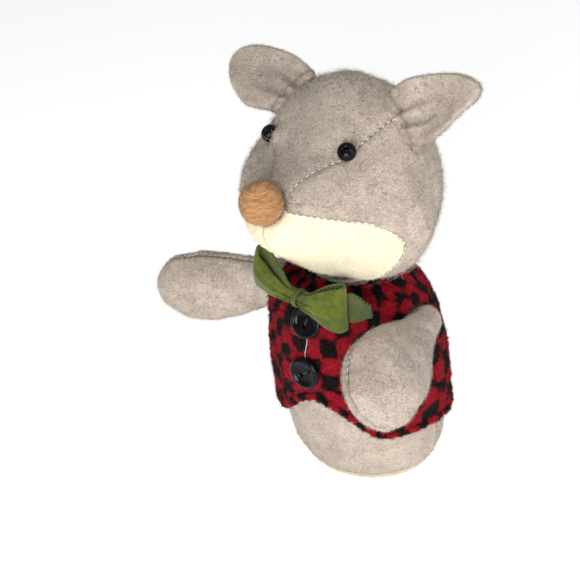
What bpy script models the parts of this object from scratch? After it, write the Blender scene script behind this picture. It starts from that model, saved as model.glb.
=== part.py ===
"""Small sewn felt glove puppet: a long-nosed grey animal in a checked vest and a bow tie.

Lengths are in millimetres up to the helpers, which write metres. +Z is up and the face looks along -Y.
The shapes are laid out round the body's own upright axis, and PLACE then moves the middle of the whole
outline over the origin.
"""
import math

import bmesh
import bpy
import numpy as np
from mathutils import Vector

MM = 0.001
PLACE = (16.33, 7.65, 0.0)
GAP = 0.3            # clearance between two sewn pieces
FELT = 2.0           # grey felt
PLAID = 1.5          # vest cloth
EAR_FELT = 1.8

# Body: half width and height of the outer surface from the hem to the neck.
BODY_PROFILE = [
    (28.4, 2.5), (30.4, 5.0), (31.9, 9.0), (33.3, 17.0), (34.2, 29.0), (34.2, 44.0),
    (33.2, 57.0), (31.0, 68.0), (27.6, 75.5), (22.8, 80.0), (17.2, 82.4), (13.4, 84.0),
]
BODY_DEPTH_RATIO = 0.84
BODY_Y = 2.2
ARM_DENT = 9.0       # the left arm presses this far into the side
BINDING_HEIGHT = 2.2
BINDING_HALF_WIDTH = 28.0

# Vest: height of the hem round the body, and how far the left front laps over the right.
VEST_GAP = 0.6
VEST_LAP = 1.8
VEST_HEM_BACK = 24.0
VEST_HEM_SIDE = 28.0
VEST_HEM_FRONT = 45.5
VEST_LAP_EDGE = -20.0       # degrees from the centre front
VEST_UNDER_EDGE = 8.0
VEST_COLLAR = 0.955         # share of the body's profile that the vest covers

# Shoulders and arms.
SHOULDER = (32.5, 2.0, 68.5)
ROOT_RADIUS = 9.2
ARMHOLE_RADIUS = 11.4
ARM_LENGTH = 58.0
ARM_PROFILE = [
    (0.0, 9.2, 9.2), (10.0, 11.0, 8.8), (20.0, 13.6, 9.3), (30.0, 15.2, 9.9),
    (38.0, 15.5, 10.0), (45.0, 14.5, 9.2), (51.0, 11.6, 7.2), (55.5, 7.2, 4.4), (58.0, 0.0, 0.0),
]
LEFT_ARM = (11.0, 3.5, 38.0)       # yaw from straight ahead, pitch and twist, in degrees
RIGHT_ARM = (-70.0, -8.0, -4.0)
POCKET_DEPTH = 31.0

# Neck: everything turns about this point.
NECK = (0.0, 2.2, 89.5)
THREAD = 0.7
NECK_RADIUS = 11.9

# Head: three blended ellipsoids, their underside hollowed by a dome over the shoulders.
HEAD_CENTRE = (0.0, 2.2, 115.0)
SKULL = ((0.0, 12.3, 117.6), (33.3, 27.3, 38.5))
CHEEKS = ((0.0, -1.9, 112.6), (38.9, 21.3, 28.4))
SNOUT = ((0.0, -15.0, 118.5), (24.0, 19.0, 18.0))
MUZZLE = ((0.0, -26.0, 120.6), (13.6, 13.6, 11.3))
DOME_CENTRE = (0.0, 2.2, 50.1)
DOME_RADIUS = 45.0
BLEND = 2.6
NECK_HOLE = 12.6
GUSSET = [
    (24.0, 4.5), (31.0, 5.8), (41.0, 7.8), (50.0, 11.3), (59.0, 15.0), (74.0, 18.2),
    (86.0, 20.6), (97.0, 22.2), (106.0, 23.0), (130.0, 19.0), (155.0, 11.0), (174.0, 3.4), (181.0, 1.2),
]
PATCH = [
    (-60.0, 23.0), (-50.0, 30.5), (-41.0, 34.0), (-30.0, 35.6), (-18.0, 35.7), (-8.0, 34.8),
    (1.0, 33.2), (8.0, 30.6), (14.0, 26.4), (19.5, 19.0),
]
TUBE_RADIUS = 10.0
TUBE_WALL = 1.2
TUBE_BOTTOM = 94.0
TUBE_TOP = 136.0
NOSE_RADIUS = 7.2
NOSE_CENTRE = (0.0, -37.9, 131.4)
EYE_X = 15.75
EYE_Z = 139.0
EYE_RADIUS = 3.25
EYE_HALF_DEPTH = 2.5
EYE_HOLE = 0.75

# Ears: hinge line on the head, and the way the leaf points.
LEFT_EAR_BASE = (24.6, 11.4, 144.9)
RIGHT_EAR_BASE = (21.5, 11.4, 144.9)
LEFT_EAR_TIP = (52.0, 15.0, 157.8)
RIGHT_EAR_TIP = (47.5, 17.0, 153.0)     # mirrored, like the right ear's other two lines
LEFT_EAR_ACROSS = (0.63, -0.35, -0.69)
RIGHT_EAR_ACROSS = (0.58, -0.50, -0.64)
EAR_LIFT = 2.2
EAR_HUG = 0.012       # how much the base edge curves with the head
EAR_LEAF = [
    (0.0, 10.6), (3.0, 11.2), (8.0, 11.4), (14.0, 10.4), (20.0, 8.8), (25.0, 6.8), (28.4, 4.4), (30.2, 1.6),
]
EAR_CUP = 2.6

BUTTON_RADIUS = 6.3
BUTTON_HEIGHTS = (74.5, 56.5)
BUTTON_AZIMUTHS = (1.5, 1.0)
BUTTON_THICK = 2.6
BUTTON_HOLE = 0.75
BUTTON_HOLE_X = 1.7

BOW_CENTRE = (0.5, -27.8, 88.2)
BOW_SWEEP = 6.0      # how far back the wings' tips bend
BOW_TILT = -4.0
BOW_RIGHT_RISE = 11.0    # how much further the right wing tips up
BOW_CLOTH = 1.3
BOW_WING_LEFT = 19.0
BOW_WING_RIGHT = 21.5

GREY = (0.54, 0.48, 0.43, 1.0)
CREAM = (0.88, 0.80, 0.62, 1.0)
RED = (0.38, 0.02, 0.03, 1.0)
GREEN = (0.13, 0.19, 0.03, 1.0)
TAN = (0.48, 0.27, 0.12, 1.0)
BLACK = (0.012, 0.012, 0.014, 1.0)
WHITE = (0.80, 0.78, 0.74, 1.0)
FILL = (0.86, 0.85, 0.82, 1.0)
CARD = (0.55, 0.42, 0.28, 1.0)


def clear_scene():
    for obj in list(bpy.data.objects):
        bpy.data.objects.remove(obj, do_unlink=True)


def material(name, colour, roughness):
    made = bpy.data.materials.new(name)
    made.use_nodes = True
    shader = made.node_tree.nodes["Principled BSDF"]
    shader.inputs["Base Color"].default_value = colour
    shader.inputs["Roughness"].default_value = roughness
    made.diffuse_color = colour
    return made


def vec(values):
    return np.array(values, float)


def unit(values):
    values = vec(values)
    return values / np.linalg.norm(values)


def smooth(low, high, value):
    share = min(max((value - low) / (high - low), 0.0), 1.0)
    return share * share * (3.0 - 2.0 * share)


def spline(knots, share):
    """Catmull-Rom through the knots; share runs 0 to 1 over them."""
    knots = np.array(knots, float)
    last = len(knots) - 1
    place = min(max(share, 0.0), 1.0) * last
    i = min(int(place), last - 1)
    t = place - i
    a = knots[max(i - 1, 0)]
    b = knots[i]
    c = knots[i + 1]
    d = knots[min(i + 2, last)]
    return 0.5 * (2 * b + (c - a) * t + (2 * a - 5 * b + 4 * c - d) * t**2 + (3 * b - a - 3 * c + d) * t**3)


def along(knots, value):
    """The knots' other columns where their first column has this value."""
    knots = np.array(knots, float)
    i = int(np.clip(np.searchsorted(knots[:, 0], value) - 1, 0, len(knots) - 2))
    share = (i + (value - knots[i, 0]) / (knots[i + 1, 0] - knots[i, 0])) / (len(knots) - 1)
    return spline(knots, share)[1:]


def add_mesh(name, points, faces, look, hidden=False):
    mesh = bpy.data.meshes.new(name)
    mesh.from_pydata([tuple(float(c + m) * MM for c, m in zip(p, PLACE)) for p in points], [], faces)
    bm = bmesh.new()
    bm.from_mesh(mesh)
    bmesh.ops.remove_doubles(bm, verts=bm.verts, dist=1e-6)
    bmesh.ops.recalc_face_normals(bm, faces=bm.faces)
    if bm.calc_volume(signed=True) < 0:
        bmesh.ops.reverse_faces(bm, faces=bm.faces)
    bm.to_mesh(mesh)
    bm.free()
    obj = bpy.data.objects.new(name, mesh)
    bpy.context.scene.collection.objects.link(obj)
    if look is not None:
        mesh.materials.append(look)
    if hidden:
        obj.hide_render = True
        obj.display_type = "WIRE"
    return obj


def sheet(name, outer, inner, us, vs, look, hidden=False, wrap=False):
    """A closed slab between two surfaces over the same grid, open at its ends if it wraps round."""
    rows = len(us)
    cols = len(vs)
    points = [surface(u, v) for surface in (outer, inner) for u in us for v in vs]
    half = rows * cols
    faces = []
    for i in range(rows if wrap else rows - 1):
        for j in range(cols - 1):
            k = (i + 1) % rows
            quad = (i * cols + j, k * cols + j, k * cols + j + 1, i * cols + j + 1)
            faces.append(quad)
            faces.append(tuple(half + q for q in reversed(quad)))
    ends = []
    for j in (0, cols - 1):
        row = np.array([points[i * cols + j] for i in range(rows)])
        if np.ptp(row, axis=0).max() > 1e-3:
            ends.append(j)
    for i in range(rows if wrap else rows - 1):
        k = (i + 1) % rows
        for j in ends:
            faces.append((i * cols + j, k * cols + j, half + k * cols + j, half + i * cols + j))
    if not wrap:
        for i in (0, rows - 1):
            for j in range(cols - 1):
                faces.append((i * cols + j, i * cols + j + 1, half + i * cols + j + 1, half + i * cols + j))
    return add_mesh(name, points, faces, look, hidden)


def solid(name, surface, us, vs, look, hidden=False):
    """A closed solid of rings: u goes round, and the first and last v are capped or points."""
    rows = len(us)
    cols = len(vs)
    points = [surface(u, v) for v in vs for u in us]
    faces = []
    for j in range(cols - 1):
        for i in range(rows):
            k = (i + 1) % rows
            faces.append((j * rows + i, j * rows + k, (j + 1) * rows + k, (j + 1) * rows + i))
    for j in (0, cols - 1):
        ring = np.array(points[j * rows:(j + 1) * rows])
        if np.ptp(ring, axis=0).max() > 1e-3:
            points.append(ring.mean(axis=0))
            hub = len(points) - 1
            for i in range(rows):
                faces.append((j * rows + i, j * rows + (i + 1) % rows, hub))
    return add_mesh(name, points, faces, look, hidden)


def ball(name, centre, radii, look, rows=20, cols=13, hidden=False):
    centre = vec(centre)
    radii = vec(radii)

    def surface(u, v):
        return centre + radii * vec((math.cos(u) * math.sin(v), math.sin(u) * math.sin(v), -math.cos(v)))

    return solid(name, surface, turn(rows), steps(0.0, math.pi, cols), look, hidden)


def steps(low, high, count):
    return list(np.linspace(low, high, count))


def turn(count):
    return list(np.linspace(0.0, 2.0 * math.pi, count, endpoint=False))


def frame_of(forward, hint=(0.0, 0.0, 1.0)):
    """Side and up, square to forward."""
    forward = unit(forward)
    side = unit(np.cross(forward, vec(hint)))
    return forward, side, np.cross(side, forward)


def ring(name, centre, axis, radius, tube, look, rows=28, cols=6):
    forward, side, up = frame_of(axis, (0.0, 1.0, 0.1))
    centre = vec(centre)
    points = []
    for a in turn(rows):
        out = side * math.cos(a) + up * math.sin(a)
        for b in turn(cols):
            points.append(centre + out * (radius + tube * math.cos(b)) + forward * tube * math.sin(b))
    faces = []
    for i in range(rows):
        for j in range(cols):
            k = (i + 1) % rows
            m = (j + 1) % cols
            faces.append((i * cols + j, k * cols + j, k * cols + m, i * cols + m))
    return add_mesh(name, points, faces, look)


def strand(name, path, radius, look, cols=8):
    """A round thread along a path, with capped ends."""
    path = [vec(p) for p in path]

    def surface(u, v):
        i = int(v)
        ahead = path[min(i + 1, len(path) - 1)] - path[max(i - 1, 0)]
        _, side, up = frame_of(ahead, (0.31, 0.9, 0.27))
        return path[i] + (side * math.cos(u) + up * math.sin(u)) * radius

    return solid(name, surface, turn(cols), range(len(path)), look)


def boolean(obj, cutter, operation):
    made = obj.modifiers.new(f"{operation.lower()}_{cutter.name}", "BOOLEAN")
    made.operation = operation
    made.solver = "EXACT"
    made.object = cutter


# ---------------------------------------------------------------- body and vest

def body_point(azimuth, share, grow=0.0):
    """A point of the body's skin, grown outwards; azimuth 0 is the centre front."""
    width, height = spline(BODY_PROFILE, share)
    grow -= ARM_DENT * math.exp(-((azimuth - 58.0) / 32.0) ** 2 - ((height - 64.0) / 17.0) ** 2)
    ahead = spline(BODY_PROFILE, share + 0.01) - spline(BODY_PROFILE, share - 0.01)
    out = unit((ahead[1], -ahead[0]))
    flat = smooth(0.0, 0.16, share)
    round_off = smooth(0.72, 1.0, share)
    depth = width * (BODY_DEPTH_RATIO + (1.0 - BODY_DEPTH_RATIO) * round_off)
    a = math.radians(azimuth)
    x = (width + grow * out[0]) * math.sin(a)
    y = BODY_Y - (depth + grow * out[0]) * math.cos(a)
    return vec((x, y, height + grow * out[1] * flat))


def share_at(height):
    low = 0.0
    high = 1.0
    for _ in range(40):
        middle = (low + high) / 2
        if spline(BODY_PROFILE, middle)[1] < height:
            low = middle
        else:
            high = middle
    return low


def build_body(felt, cream, holes):
    half_gap = 0.3
    for name, first, last in (
        ("body_front_panel", -90.0 + half_gap, 90.0 - half_gap),
        ("body_back_panel", 90.0 + half_gap, 270.0 - half_gap),
    ):
        panel = sheet(
            name,
            lambda u, v: body_point(u, v),
            lambda u, v: body_point(u, v, -FELT),
            steps(first, last, 18),
            steps(0.0, 1.0, 13),
            felt,
        )
        for hole in holes:
            boolean(panel, hole, "DIFFERENCE")

    def rim(grow):
        def surface(u, v):
            width = BINDING_HALF_WIDTH + grow
            depth = BINDING_HALF_WIDTH * BODY_DEPTH_RATIO + grow
            return vec((width * math.sin(u), BODY_Y - depth * math.cos(u), v))
        return surface

    sheet("hem_binding", rim(0.0), rim(-2.8), turn(44), [0.0, BINDING_HEIGHT], cream, wrap=True)


def hem_height(azimuth):
    """The vest hem: level at the back and sides, cut up to a peak at the centre front."""
    peak = 0.5 + 0.5 * math.cos(math.radians(min(abs(azimuth - 4.0) * 4.1, 180.0)))
    turned = min(azimuth % 360.0, 360.0 - azimuth % 360.0)
    side = VEST_HEM_SIDE - (VEST_HEM_SIDE - VEST_HEM_BACK) * smooth(70.0, 120.0, turned)
    return side + (VEST_HEM_FRONT - VEST_HEM_SIDE) * peak


def vest_lift(azimuth):
    """How far the left front stands off the body: it lies over the right front near the centre."""
    return VEST_GAP + VEST_LAP * (1.0 - smooth(VEST_UNDER_EDGE + 3.0, VEST_UNDER_EDGE + 22.0, azimuth))


def build_vest(plaid, holes):
    def panel(name, first, last, count, lift):
        def surface(extra):
            def point(u, v):
                low = share_at(hem_height(u))
                return body_point(u, low + (VEST_COLLAR - low) * v, lift(u) + extra)
            return point
        made = sheet(name, surface(PLAID), surface(0.0), steps(first, last, count), steps(0.0, 1.0, 10), plaid)
        for hole in holes:
            boolean(made, hole, "DIFFERENCE")

    panel("vest_back", 90.4, 269.6, 16, lambda azimuth: VEST_GAP)
    panel("vest_left_front", VEST_LAP_EDGE, 89.6, 13, vest_lift)
    panel("vest_right_front", -89.6, VEST_UNDER_EDGE, 11, lambda azimuth: VEST_GAP)


def build_buttons(gloss, thread):
    spots = []
    for name, height, azimuth in zip(("upper", "lower"), BUTTON_HEIGHTS, BUTTON_AZIMUTHS):
        share = share_at(height)
        lift = VEST_GAP + VEST_LAP + PLAID
        seat = body_point(azimuth, share, lift)
        across = body_point(azimuth + 4.0, share, lift) - body_point(azimuth - 4.0, share, lift)
        rise = body_point(azimuth, share + 0.03, lift) - body_point(azimuth, share - 0.03, lift)
        out = unit(np.cross(across, rise))
        side = unit(across)
        up = np.cross(out, side)
        start = seat + out * 0.75
        profile = [
            (0.0, 0.0), (3.6, 0.0), (5.2, 0.35), (BUTTON_RADIUS, 1.25), (BUTTON_RADIUS - 0.35, 2.2),
            (BUTTON_RADIUS - 1.1, BUTTON_THICK), (BUTTON_RADIUS - 1.9, 2.35), (3.1, 1.55), (0.0, 1.35),
        ]

        def surface(u, v, start=start, side=side, up=up, out=out, profile=profile):
            radius, depth = profile[v]
            return start + (side * math.cos(u) + up * math.sin(u)) * radius + out * depth

        button = solid(f"button_{name}", surface, turn(22), range(len(profile)), gloss)
        for hand in (-1, 1):
            def hole(u, v, hand=hand, start=start, side=side, up=up, out=out):
                middle = start + side * hand * BUTTON_HOLE_X
                return middle + (side * math.cos(u) + up * math.sin(u)) * BUTTON_HOLE + out * v

            cutter = solid(f"button_{name}_hole_{hand}", hole, turn(10), [-1.0, 4.0], None, hidden=True)
            boolean(button, cutter, "DIFFERENCE")
        arc = []
        for a in steps(-1.0, 1.0, 9):
            arch = math.sqrt(max(1.0 - a**4, 0.0))
            arc.append(start + side * a * BUTTON_HOLE_X + out * (0.1 + 2.0 * arch))
        strand(f"button_{name}_thread", arc, 0.32, thread)
        spots.append((start, up, out))
    (top, up_top, out_top), (low, up_low, out_low) = spots
    first = top - up_top * 4.9 - out_top * 0.35
    last = low + up_low * 4.9 - out_low * 0.35
    path = [first + (last - first) * s + out_top * 0.9 * math.sin(math.pi * s) for s in steps(0.0, 1.0, 7)]
    strand("button_link_thread", path, 0.25, thread, cols=6)


# ---------------------------------------------------------------- arms

def arm_axes(yaw, pitch, twist):
    a = math.radians(yaw)
    b = math.radians(pitch)
    forward = vec((math.sin(a) * math.cos(b), -math.cos(a) * math.cos(b), math.sin(b)))
    forward, side, up = frame_of(forward)
    c = math.radians(twist)
    broad = up * math.cos(c) + side * math.sin(c)
    return forward, broad, np.cross(broad, forward)


def build_arm(hand, pose, felt, fill):
    """Two felt halves that meet in a seam along the top and bottom, round a stuffed paw."""
    mark = "left" if hand > 0 else "right"
    pivot = vec((SHOULDER[0] * hand, SHOULDER[1], SHOULDER[2]))
    forward, broad, flat = arm_axes(*pose)
    if flat[0] * hand < 0:
        flat = -flat

    def section(place, inset):
        """Half width and half thickness at a distance along the arm, inside by inset."""
        if place < 0.0:
            radius = math.sqrt(max((ROOT_RADIUS - inset) ** 2 - place**2, 0.0))
            return radius, radius
        place = place * ARM_LENGTH / (ARM_LENGTH - inset)
        wide, thick = along(ARM_PROFILE, min(place, ARM_LENGTH))
        tip = smooth(ARM_LENGTH, ARM_LENGTH - 7.0, place)
        return max(wide - inset * tip - 0.0, 0.0), max(thick - inset * tip, 0.0)

    def surface(inset, shift, start):
        def point(u, v):
            place = start + (ARM_LENGTH - inset - start) * v
            wide, thick = section(place, inset)
            middle = pivot + forward * place + flat * shift
            return middle + broad * wide * math.cos(u) + flat * thick * math.sin(u)
        return point

    rows = [0.0, 0.06, 0.14, 0.25, 0.38, 0.51, 0.63, 0.74, 0.83, 0.9, 0.96, 0.99, 1.0]
    for name, first, last, shift in (("outer", 0.0, math.pi, 0.2), ("inner", math.pi, 2 * math.pi, -0.2)):
        sheet(
            f"arm_{mark}_{name}_panel",
            surface(0.0, shift, -5.0),
            surface(FELT, shift, -5.0),
            steps(first, last, 9),
            rows,
            felt,
        )

    def stuffing(u, v):
        place = POCKET_DEPTH + (ARM_LENGTH - FELT - 0.8 - POCKET_DEPTH) * v
        wide, thick = section(place, FELT + 0.8)
        return pivot + forward * place + broad * wide * math.cos(u) + flat * thick * math.sin(u)

    solid(f"paw_{mark}_stuffing", stuffing, turn(16), [0.0, 0.25, 0.5, 0.7, 0.85, 0.95, 1.0], fill)

    def cup(radius):
        def point(u, v):
            out = broad * math.cos(u) + flat * math.sin(u)
            return pivot + radius * (forward * math.cos(v) + out * math.sin(v))
        return point

    sheet(
        f"shoulder_{mark}_seam_edge",
        cup(ROOT_RADIUS + 1.9),
        cup(ROOT_RADIUS + 0.7),
        turn(24),
        steps(math.radians(112.0), math.radians(138.0), 4),
        felt,
        wrap=True,
    )


# ---------------------------------------------------------------- neck and head

def head_field(points):
    """Negative inside the head; points is an array of rows."""
    found = []
    for centre, size in (SKULL, CHEEKS, SNOUT, MUZZLE):
        reach = np.linalg.norm((points - vec(centre)) / vec(size), axis=-1)
        found.append((reach - 1.0) * min(size))
    union = -BLEND * np.log(sum(np.exp(-f / BLEND) for f in found))
    dome = DOME_RADIUS - np.linalg.norm(points - vec(DOME_CENTRE), axis=-1)
    seat = NOSE_RADIUS + 0.9 - np.linalg.norm(points - vec(NOSE_CENTRE), axis=-1)
    hollowed = 2.0 * np.log(np.exp(union / 2.0) + np.exp(dome / 2.0))
    return 0.8 * np.log(np.exp(hollowed / 0.8) + np.exp(seat / 0.8))


def head_normal(points):
    step = 0.05
    slopes = [head_field(points + d) - head_field(points - d) for d in np.eye(3) * step]
    slopes = np.stack(slopes, -1)
    return slopes / np.linalg.norm(slopes, axis=-1, keepdims=True)


def head_surface(directions):
    """Where rays from the head's centre leave it."""
    directions = np.asarray(directions, float)
    near = np.zeros(directions.shape[:-1])
    far = np.full(directions.shape[:-1], 75.0)
    for _ in range(40):
        middle = (near + far) / 2
        inside = head_field(vec(HEAD_CENTRE) + directions * middle[..., None]) < 0
        near = np.where(inside, middle, near)
        far = np.where(inside, far, middle)
    return vec(HEAD_CENTRE) + directions * near[..., None]


def head_grid(around, down, inset):
    a, t = np.meshgrid(around, down, indexing="ij")
    directions = np.stack([np.sin(t) * np.sin(a), -np.sin(t) * np.cos(a), np.cos(t)], -1)
    points = head_surface(directions)
    return points - head_normal(points) * inset


def side_points(pitch, out):
    """Surface points by the angle round the head's side-to-side axis and the angle out from the middle."""
    directions = np.stack([np.sin(out), -np.cos(out) * np.cos(pitch), np.cos(out) * np.sin(pitch)], -1)
    return head_surface(directions)


def edge_angle(pitch, limit):
    """How far out from the middle each row meets the half width limit, outside the neck opening."""
    near = np.full(pitch.shape, -0.02)
    far = np.full(pitch.shape, math.pi / 2)
    for _ in range(30):
        middle = (near + far) / 2
        found = side_points(pitch, middle)
        reach = np.hypot(found[..., 0], found[..., 1] - HEAD_CENTRE[1])
        clear = (found[..., 0] >= limit) & ((reach >= NECK_HOLE) | (found[..., 2] > HEAD_CENTRE[2] - 10.0))
        near = np.where(clear, near, middle)
        far = np.where(clear, middle, far)
    return far


def gusset_rows():
    return steps(GUSSET[0][0], GUSSET[-1][0], 20)


def gusset_width(pitch):
    return float(along(GUSSET, pitch)[0])


def patch_rows():
    return steps(PATCH[0][0], PATCH[-1][0], 11)


def patch_width(pitch):
    return float(along(PATCH, pitch)[0])


def head_panel(name, hand, rows, inner_limit, outer_limit, cols, look, wrap=False):
    """A felt panel between two half widths; a missing outer limit runs it to the side of the head."""
    pitch = np.radians(np.array(rows, float))
    low = edge_angle(pitch, np.array(inner_limit, float))
    if outer_limit is None:
        high = np.full(pitch.shape, math.pi / 2)
    else:
        high = edge_angle(pitch, np.array(outer_limit, float))
    share = np.linspace(0.0, 1.0, cols) ** (1.3 if outer_limit is not None else 1.0)
    out = low[:, None] + (high - low)[:, None] * share[None, :]
    points = side_points(np.repeat(pitch[:, None], cols, axis=1), out)
    normals = head_normal(points)
    flip = vec((hand, 1.0, 1.0))

    def layer(inset):
        grid = (points - normals * inset) * flip
        return lambda u, v: grid[u, v]

    return sheet(name, layer(0.0), layer(FELT), range(len(rows)), range(cols), look, wrap=wrap)


def build_gusset(felt):
    """The strip from the nose over the crown to the nape."""
    rows = gusset_rows()
    pitch = np.radians(np.array(rows))
    wide = edge_angle(pitch, np.array([gusset_width(r) - GAP / 2 for r in rows]))
    share = np.linspace(-1.0, 1.0, 9)
    out = wide[:, None] * share[None, :]
    points = side_points(np.repeat(pitch[:, None], 9, axis=1), out)
    normals = head_normal(points)

    def layer(inset):
        grid = points - normals * inset
        return lambda u, v: grid[u, v]

    sheet("head_gusset", layer(0.0), layer(FELT), range(len(rows)), range(9), felt)


def build_head(felt, cream, fill, card, tan):
    bore = solid(
        "cut_finger_bore",
        lambda u, v: vec((0, HEAD_CENTRE[1], v)) + (TUBE_RADIUS + 0.4) * vec((math.cos(u), math.sin(u), 0)),
        turn(32),
        [70.0, TUBE_TOP + 2.0],
        None,
        hidden=True,
    )
    build_gusset(felt)
    middle = GAP / 2
    top = gusset_rows()
    front = patch_rows()
    shade = 0.45
    rows = [top[0] - shade] + top + [top[-1] + shade]
    limits = [middle] + [gusset_width(r) + middle for r in top] + [middle]
    rows += steps(top[-1] + 8.0, 360.0 + front[0] - 0.5 * shade, 12)
    limits += [middle] * 12
    rows += [360.0 + r + (shade if i == 0 else 0.0) for i, r in enumerate(front)]
    limits += [patch_width(r) + middle for r in front]
    rows += [360.0 + front[-1] + shade]
    limits += [middle]
    for hand, mark in ((1, "left"), (-1, "right")):
        head_panel(f"head_{mark}_side", hand, rows, limits, None, 7, felt, wrap=True)
        inside = [r - (shade if i == len(front) - 1 else 0.0) + (1.6 * shade if i == 0 else 0.0)
                  for i, r in enumerate(front)]
        far = [patch_width(r) - middle for r in front]
        head_panel(f"chin_{mark}_patch", hand, inside, [middle] * len(front), far, 8, cream)

    around = turn(28)
    down = steps(0.0, math.pi, 17)
    core = head_grid(around, down, FELT + 1.9)
    stuffing = solid("head_stuffing", lambda u, v: core[u, v], range(28), range(17), fill)
    boolean(stuffing, bore, "DIFFERENCE")

    def wall(radius):
        return lambda u, v: vec((radius * math.sin(u), HEAD_CENTRE[1] - radius * math.cos(u), v))

    sheet("finger_tube", wall(TUBE_RADIUS), wall(TUBE_RADIUS - TUBE_WALL), turn(32), [TUBE_BOTTOM, TUBE_TOP], card, wrap=True)
    ball("nose_ball", NOSE_CENTRE, (NOSE_RADIUS,) * 3, tan, 20, 12)


def surface_at(x, z):
    """The head's front at this x and z, and the way out of it."""
    near = -60.0
    far = 10.0
    for _ in range(50):
        middle = (near + far) / 2
        if head_field(vec((x, middle, z))[None])[0] < 0:
            far = middle
        else:
            near = middle
    spot = vec((x, far, z))
    return spot, head_normal(spot[None])[0]


def build_eyes(gloss, thread):
    for hand, mark in ((1, "left"), (-1, "right")):
        spot, out = surface_at(EYE_X * hand, EYE_Z)
        _, side, up = frame_of(out)
        centre = spot + out * (EYE_HALF_DEPTH + 0.35)
        count = 7
        points = []
        for a in turn(18):
            away = side * math.cos(a) + up * math.sin(a)
            for b in steps(-1.0, 1.0, count):
                t = b * math.pi * 0.5 * 0.86
                radius = EYE_HOLE + (EYE_RADIUS - EYE_HOLE) * math.cos(t)
                points.append(centre + away * radius + out * EYE_HALF_DEPTH * math.sin(t) * 1.03)
            points.append(centre + away * EYE_HOLE + out * EYE_HALF_DEPTH * 0.80)
            points.append(centre + away * EYE_HOLE - out * EYE_HALF_DEPTH * 0.80)
        span = count + 2
        faces = []
        for i in range(18):
            k = (i + 1) % 18
            for j in range(span):
                m = (j + 1) % span
                faces.append((i * span + j, k * span + j, k * span + m, i * span + m))
        add_mesh(f"eye_{mark}", points, faces, gloss)
        path = [centre + out * d for d in (-EYE_HALF_DEPTH - 0.15, 0.0, EYE_HALF_DEPTH * 0.55)]
        strand(f"eye_{mark}_thread", path, 0.4, thread)


def ear_hinge(hand):
    """A point on the ear's hinge line and the line's direction, for this side."""
    across = unit(LEFT_EAR_ACROSS if hand > 0 else RIGHT_EAR_ACROSS)
    spot, out = surface_at_ear(hand)
    flip = vec((hand, 1.0, 1.0))
    return (spot + out * EAR_LIFT) * flip, across * flip


def build_ear(hand, felt):
    """A leaf of two felt layers, cupped towards the front."""
    mark = "left" if hand > 0 else "right"
    flip = vec((hand, 1.0, 1.0))
    across = unit(LEFT_EAR_ACROSS if hand > 0 else RIGHT_EAR_ACROSS)
    base, out = surface_at_ear(hand)
    point = unit(vec(LEFT_EAR_TIP if hand > 0 else RIGHT_EAR_TIP) - base)
    front = unit(np.cross(across, point))
    if front[1] > 0:
        front = -front
    hinge = base + out * EAR_LIFT

    def surface(low, grow):
        def place(u, v):
            wide = along(EAR_LEAF, v)[0] - grow
            reach = v + (grow * -1.0 if v > 27.0 else 0.0)
            cup = EAR_CUP * (u * u - 0.35) * smooth(0.0, 9.0, v) * smooth(31.0, 18.0, v)
            hug = out * (wide * u) ** 2 * EAR_HUG * smooth(8.0, 0.0, v)
            here = hinge + across * wide * u + point * reach + front * (low + cup) - hug
            return here * flip
        return place

    us = steps(-1.0, 1.0, 9)
    vs = [0.0, 1.5, 4.0, 8.0, 12.0, 16.0, 20.0, 23.5, 26.5, 28.8, 30.2]
    sheet(f"ear_{mark}_front_panel", surface(0.2 + EAR_FELT, 0.5), surface(0.2, 0.0), us, vs, felt)
    sheet(f"ear_{mark}_back_panel", surface(-0.2, 0.0), surface(-0.2 - EAR_FELT, 0.5), us, vs, felt)


def surface_at_ear(hand):
    direction = unit(vec(LEFT_EAR_BASE if hand > 0 else RIGHT_EAR_BASE) - vec(HEAD_CENTRE))
    spot = head_surface(direction[None])[0]
    return spot, head_normal(spot[None])[0]


def build_neck(thread):
    ring("neck_gather_thread", (0.0, NECK[1], 85.1), (0, 0, 1), NECK_RADIUS, THREAD, thread)
    ring("neck_seam_thread", NECK, (0, 0, 1), NECK_RADIUS, THREAD, thread)


# ---------------------------------------------------------------- bow tie

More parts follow.
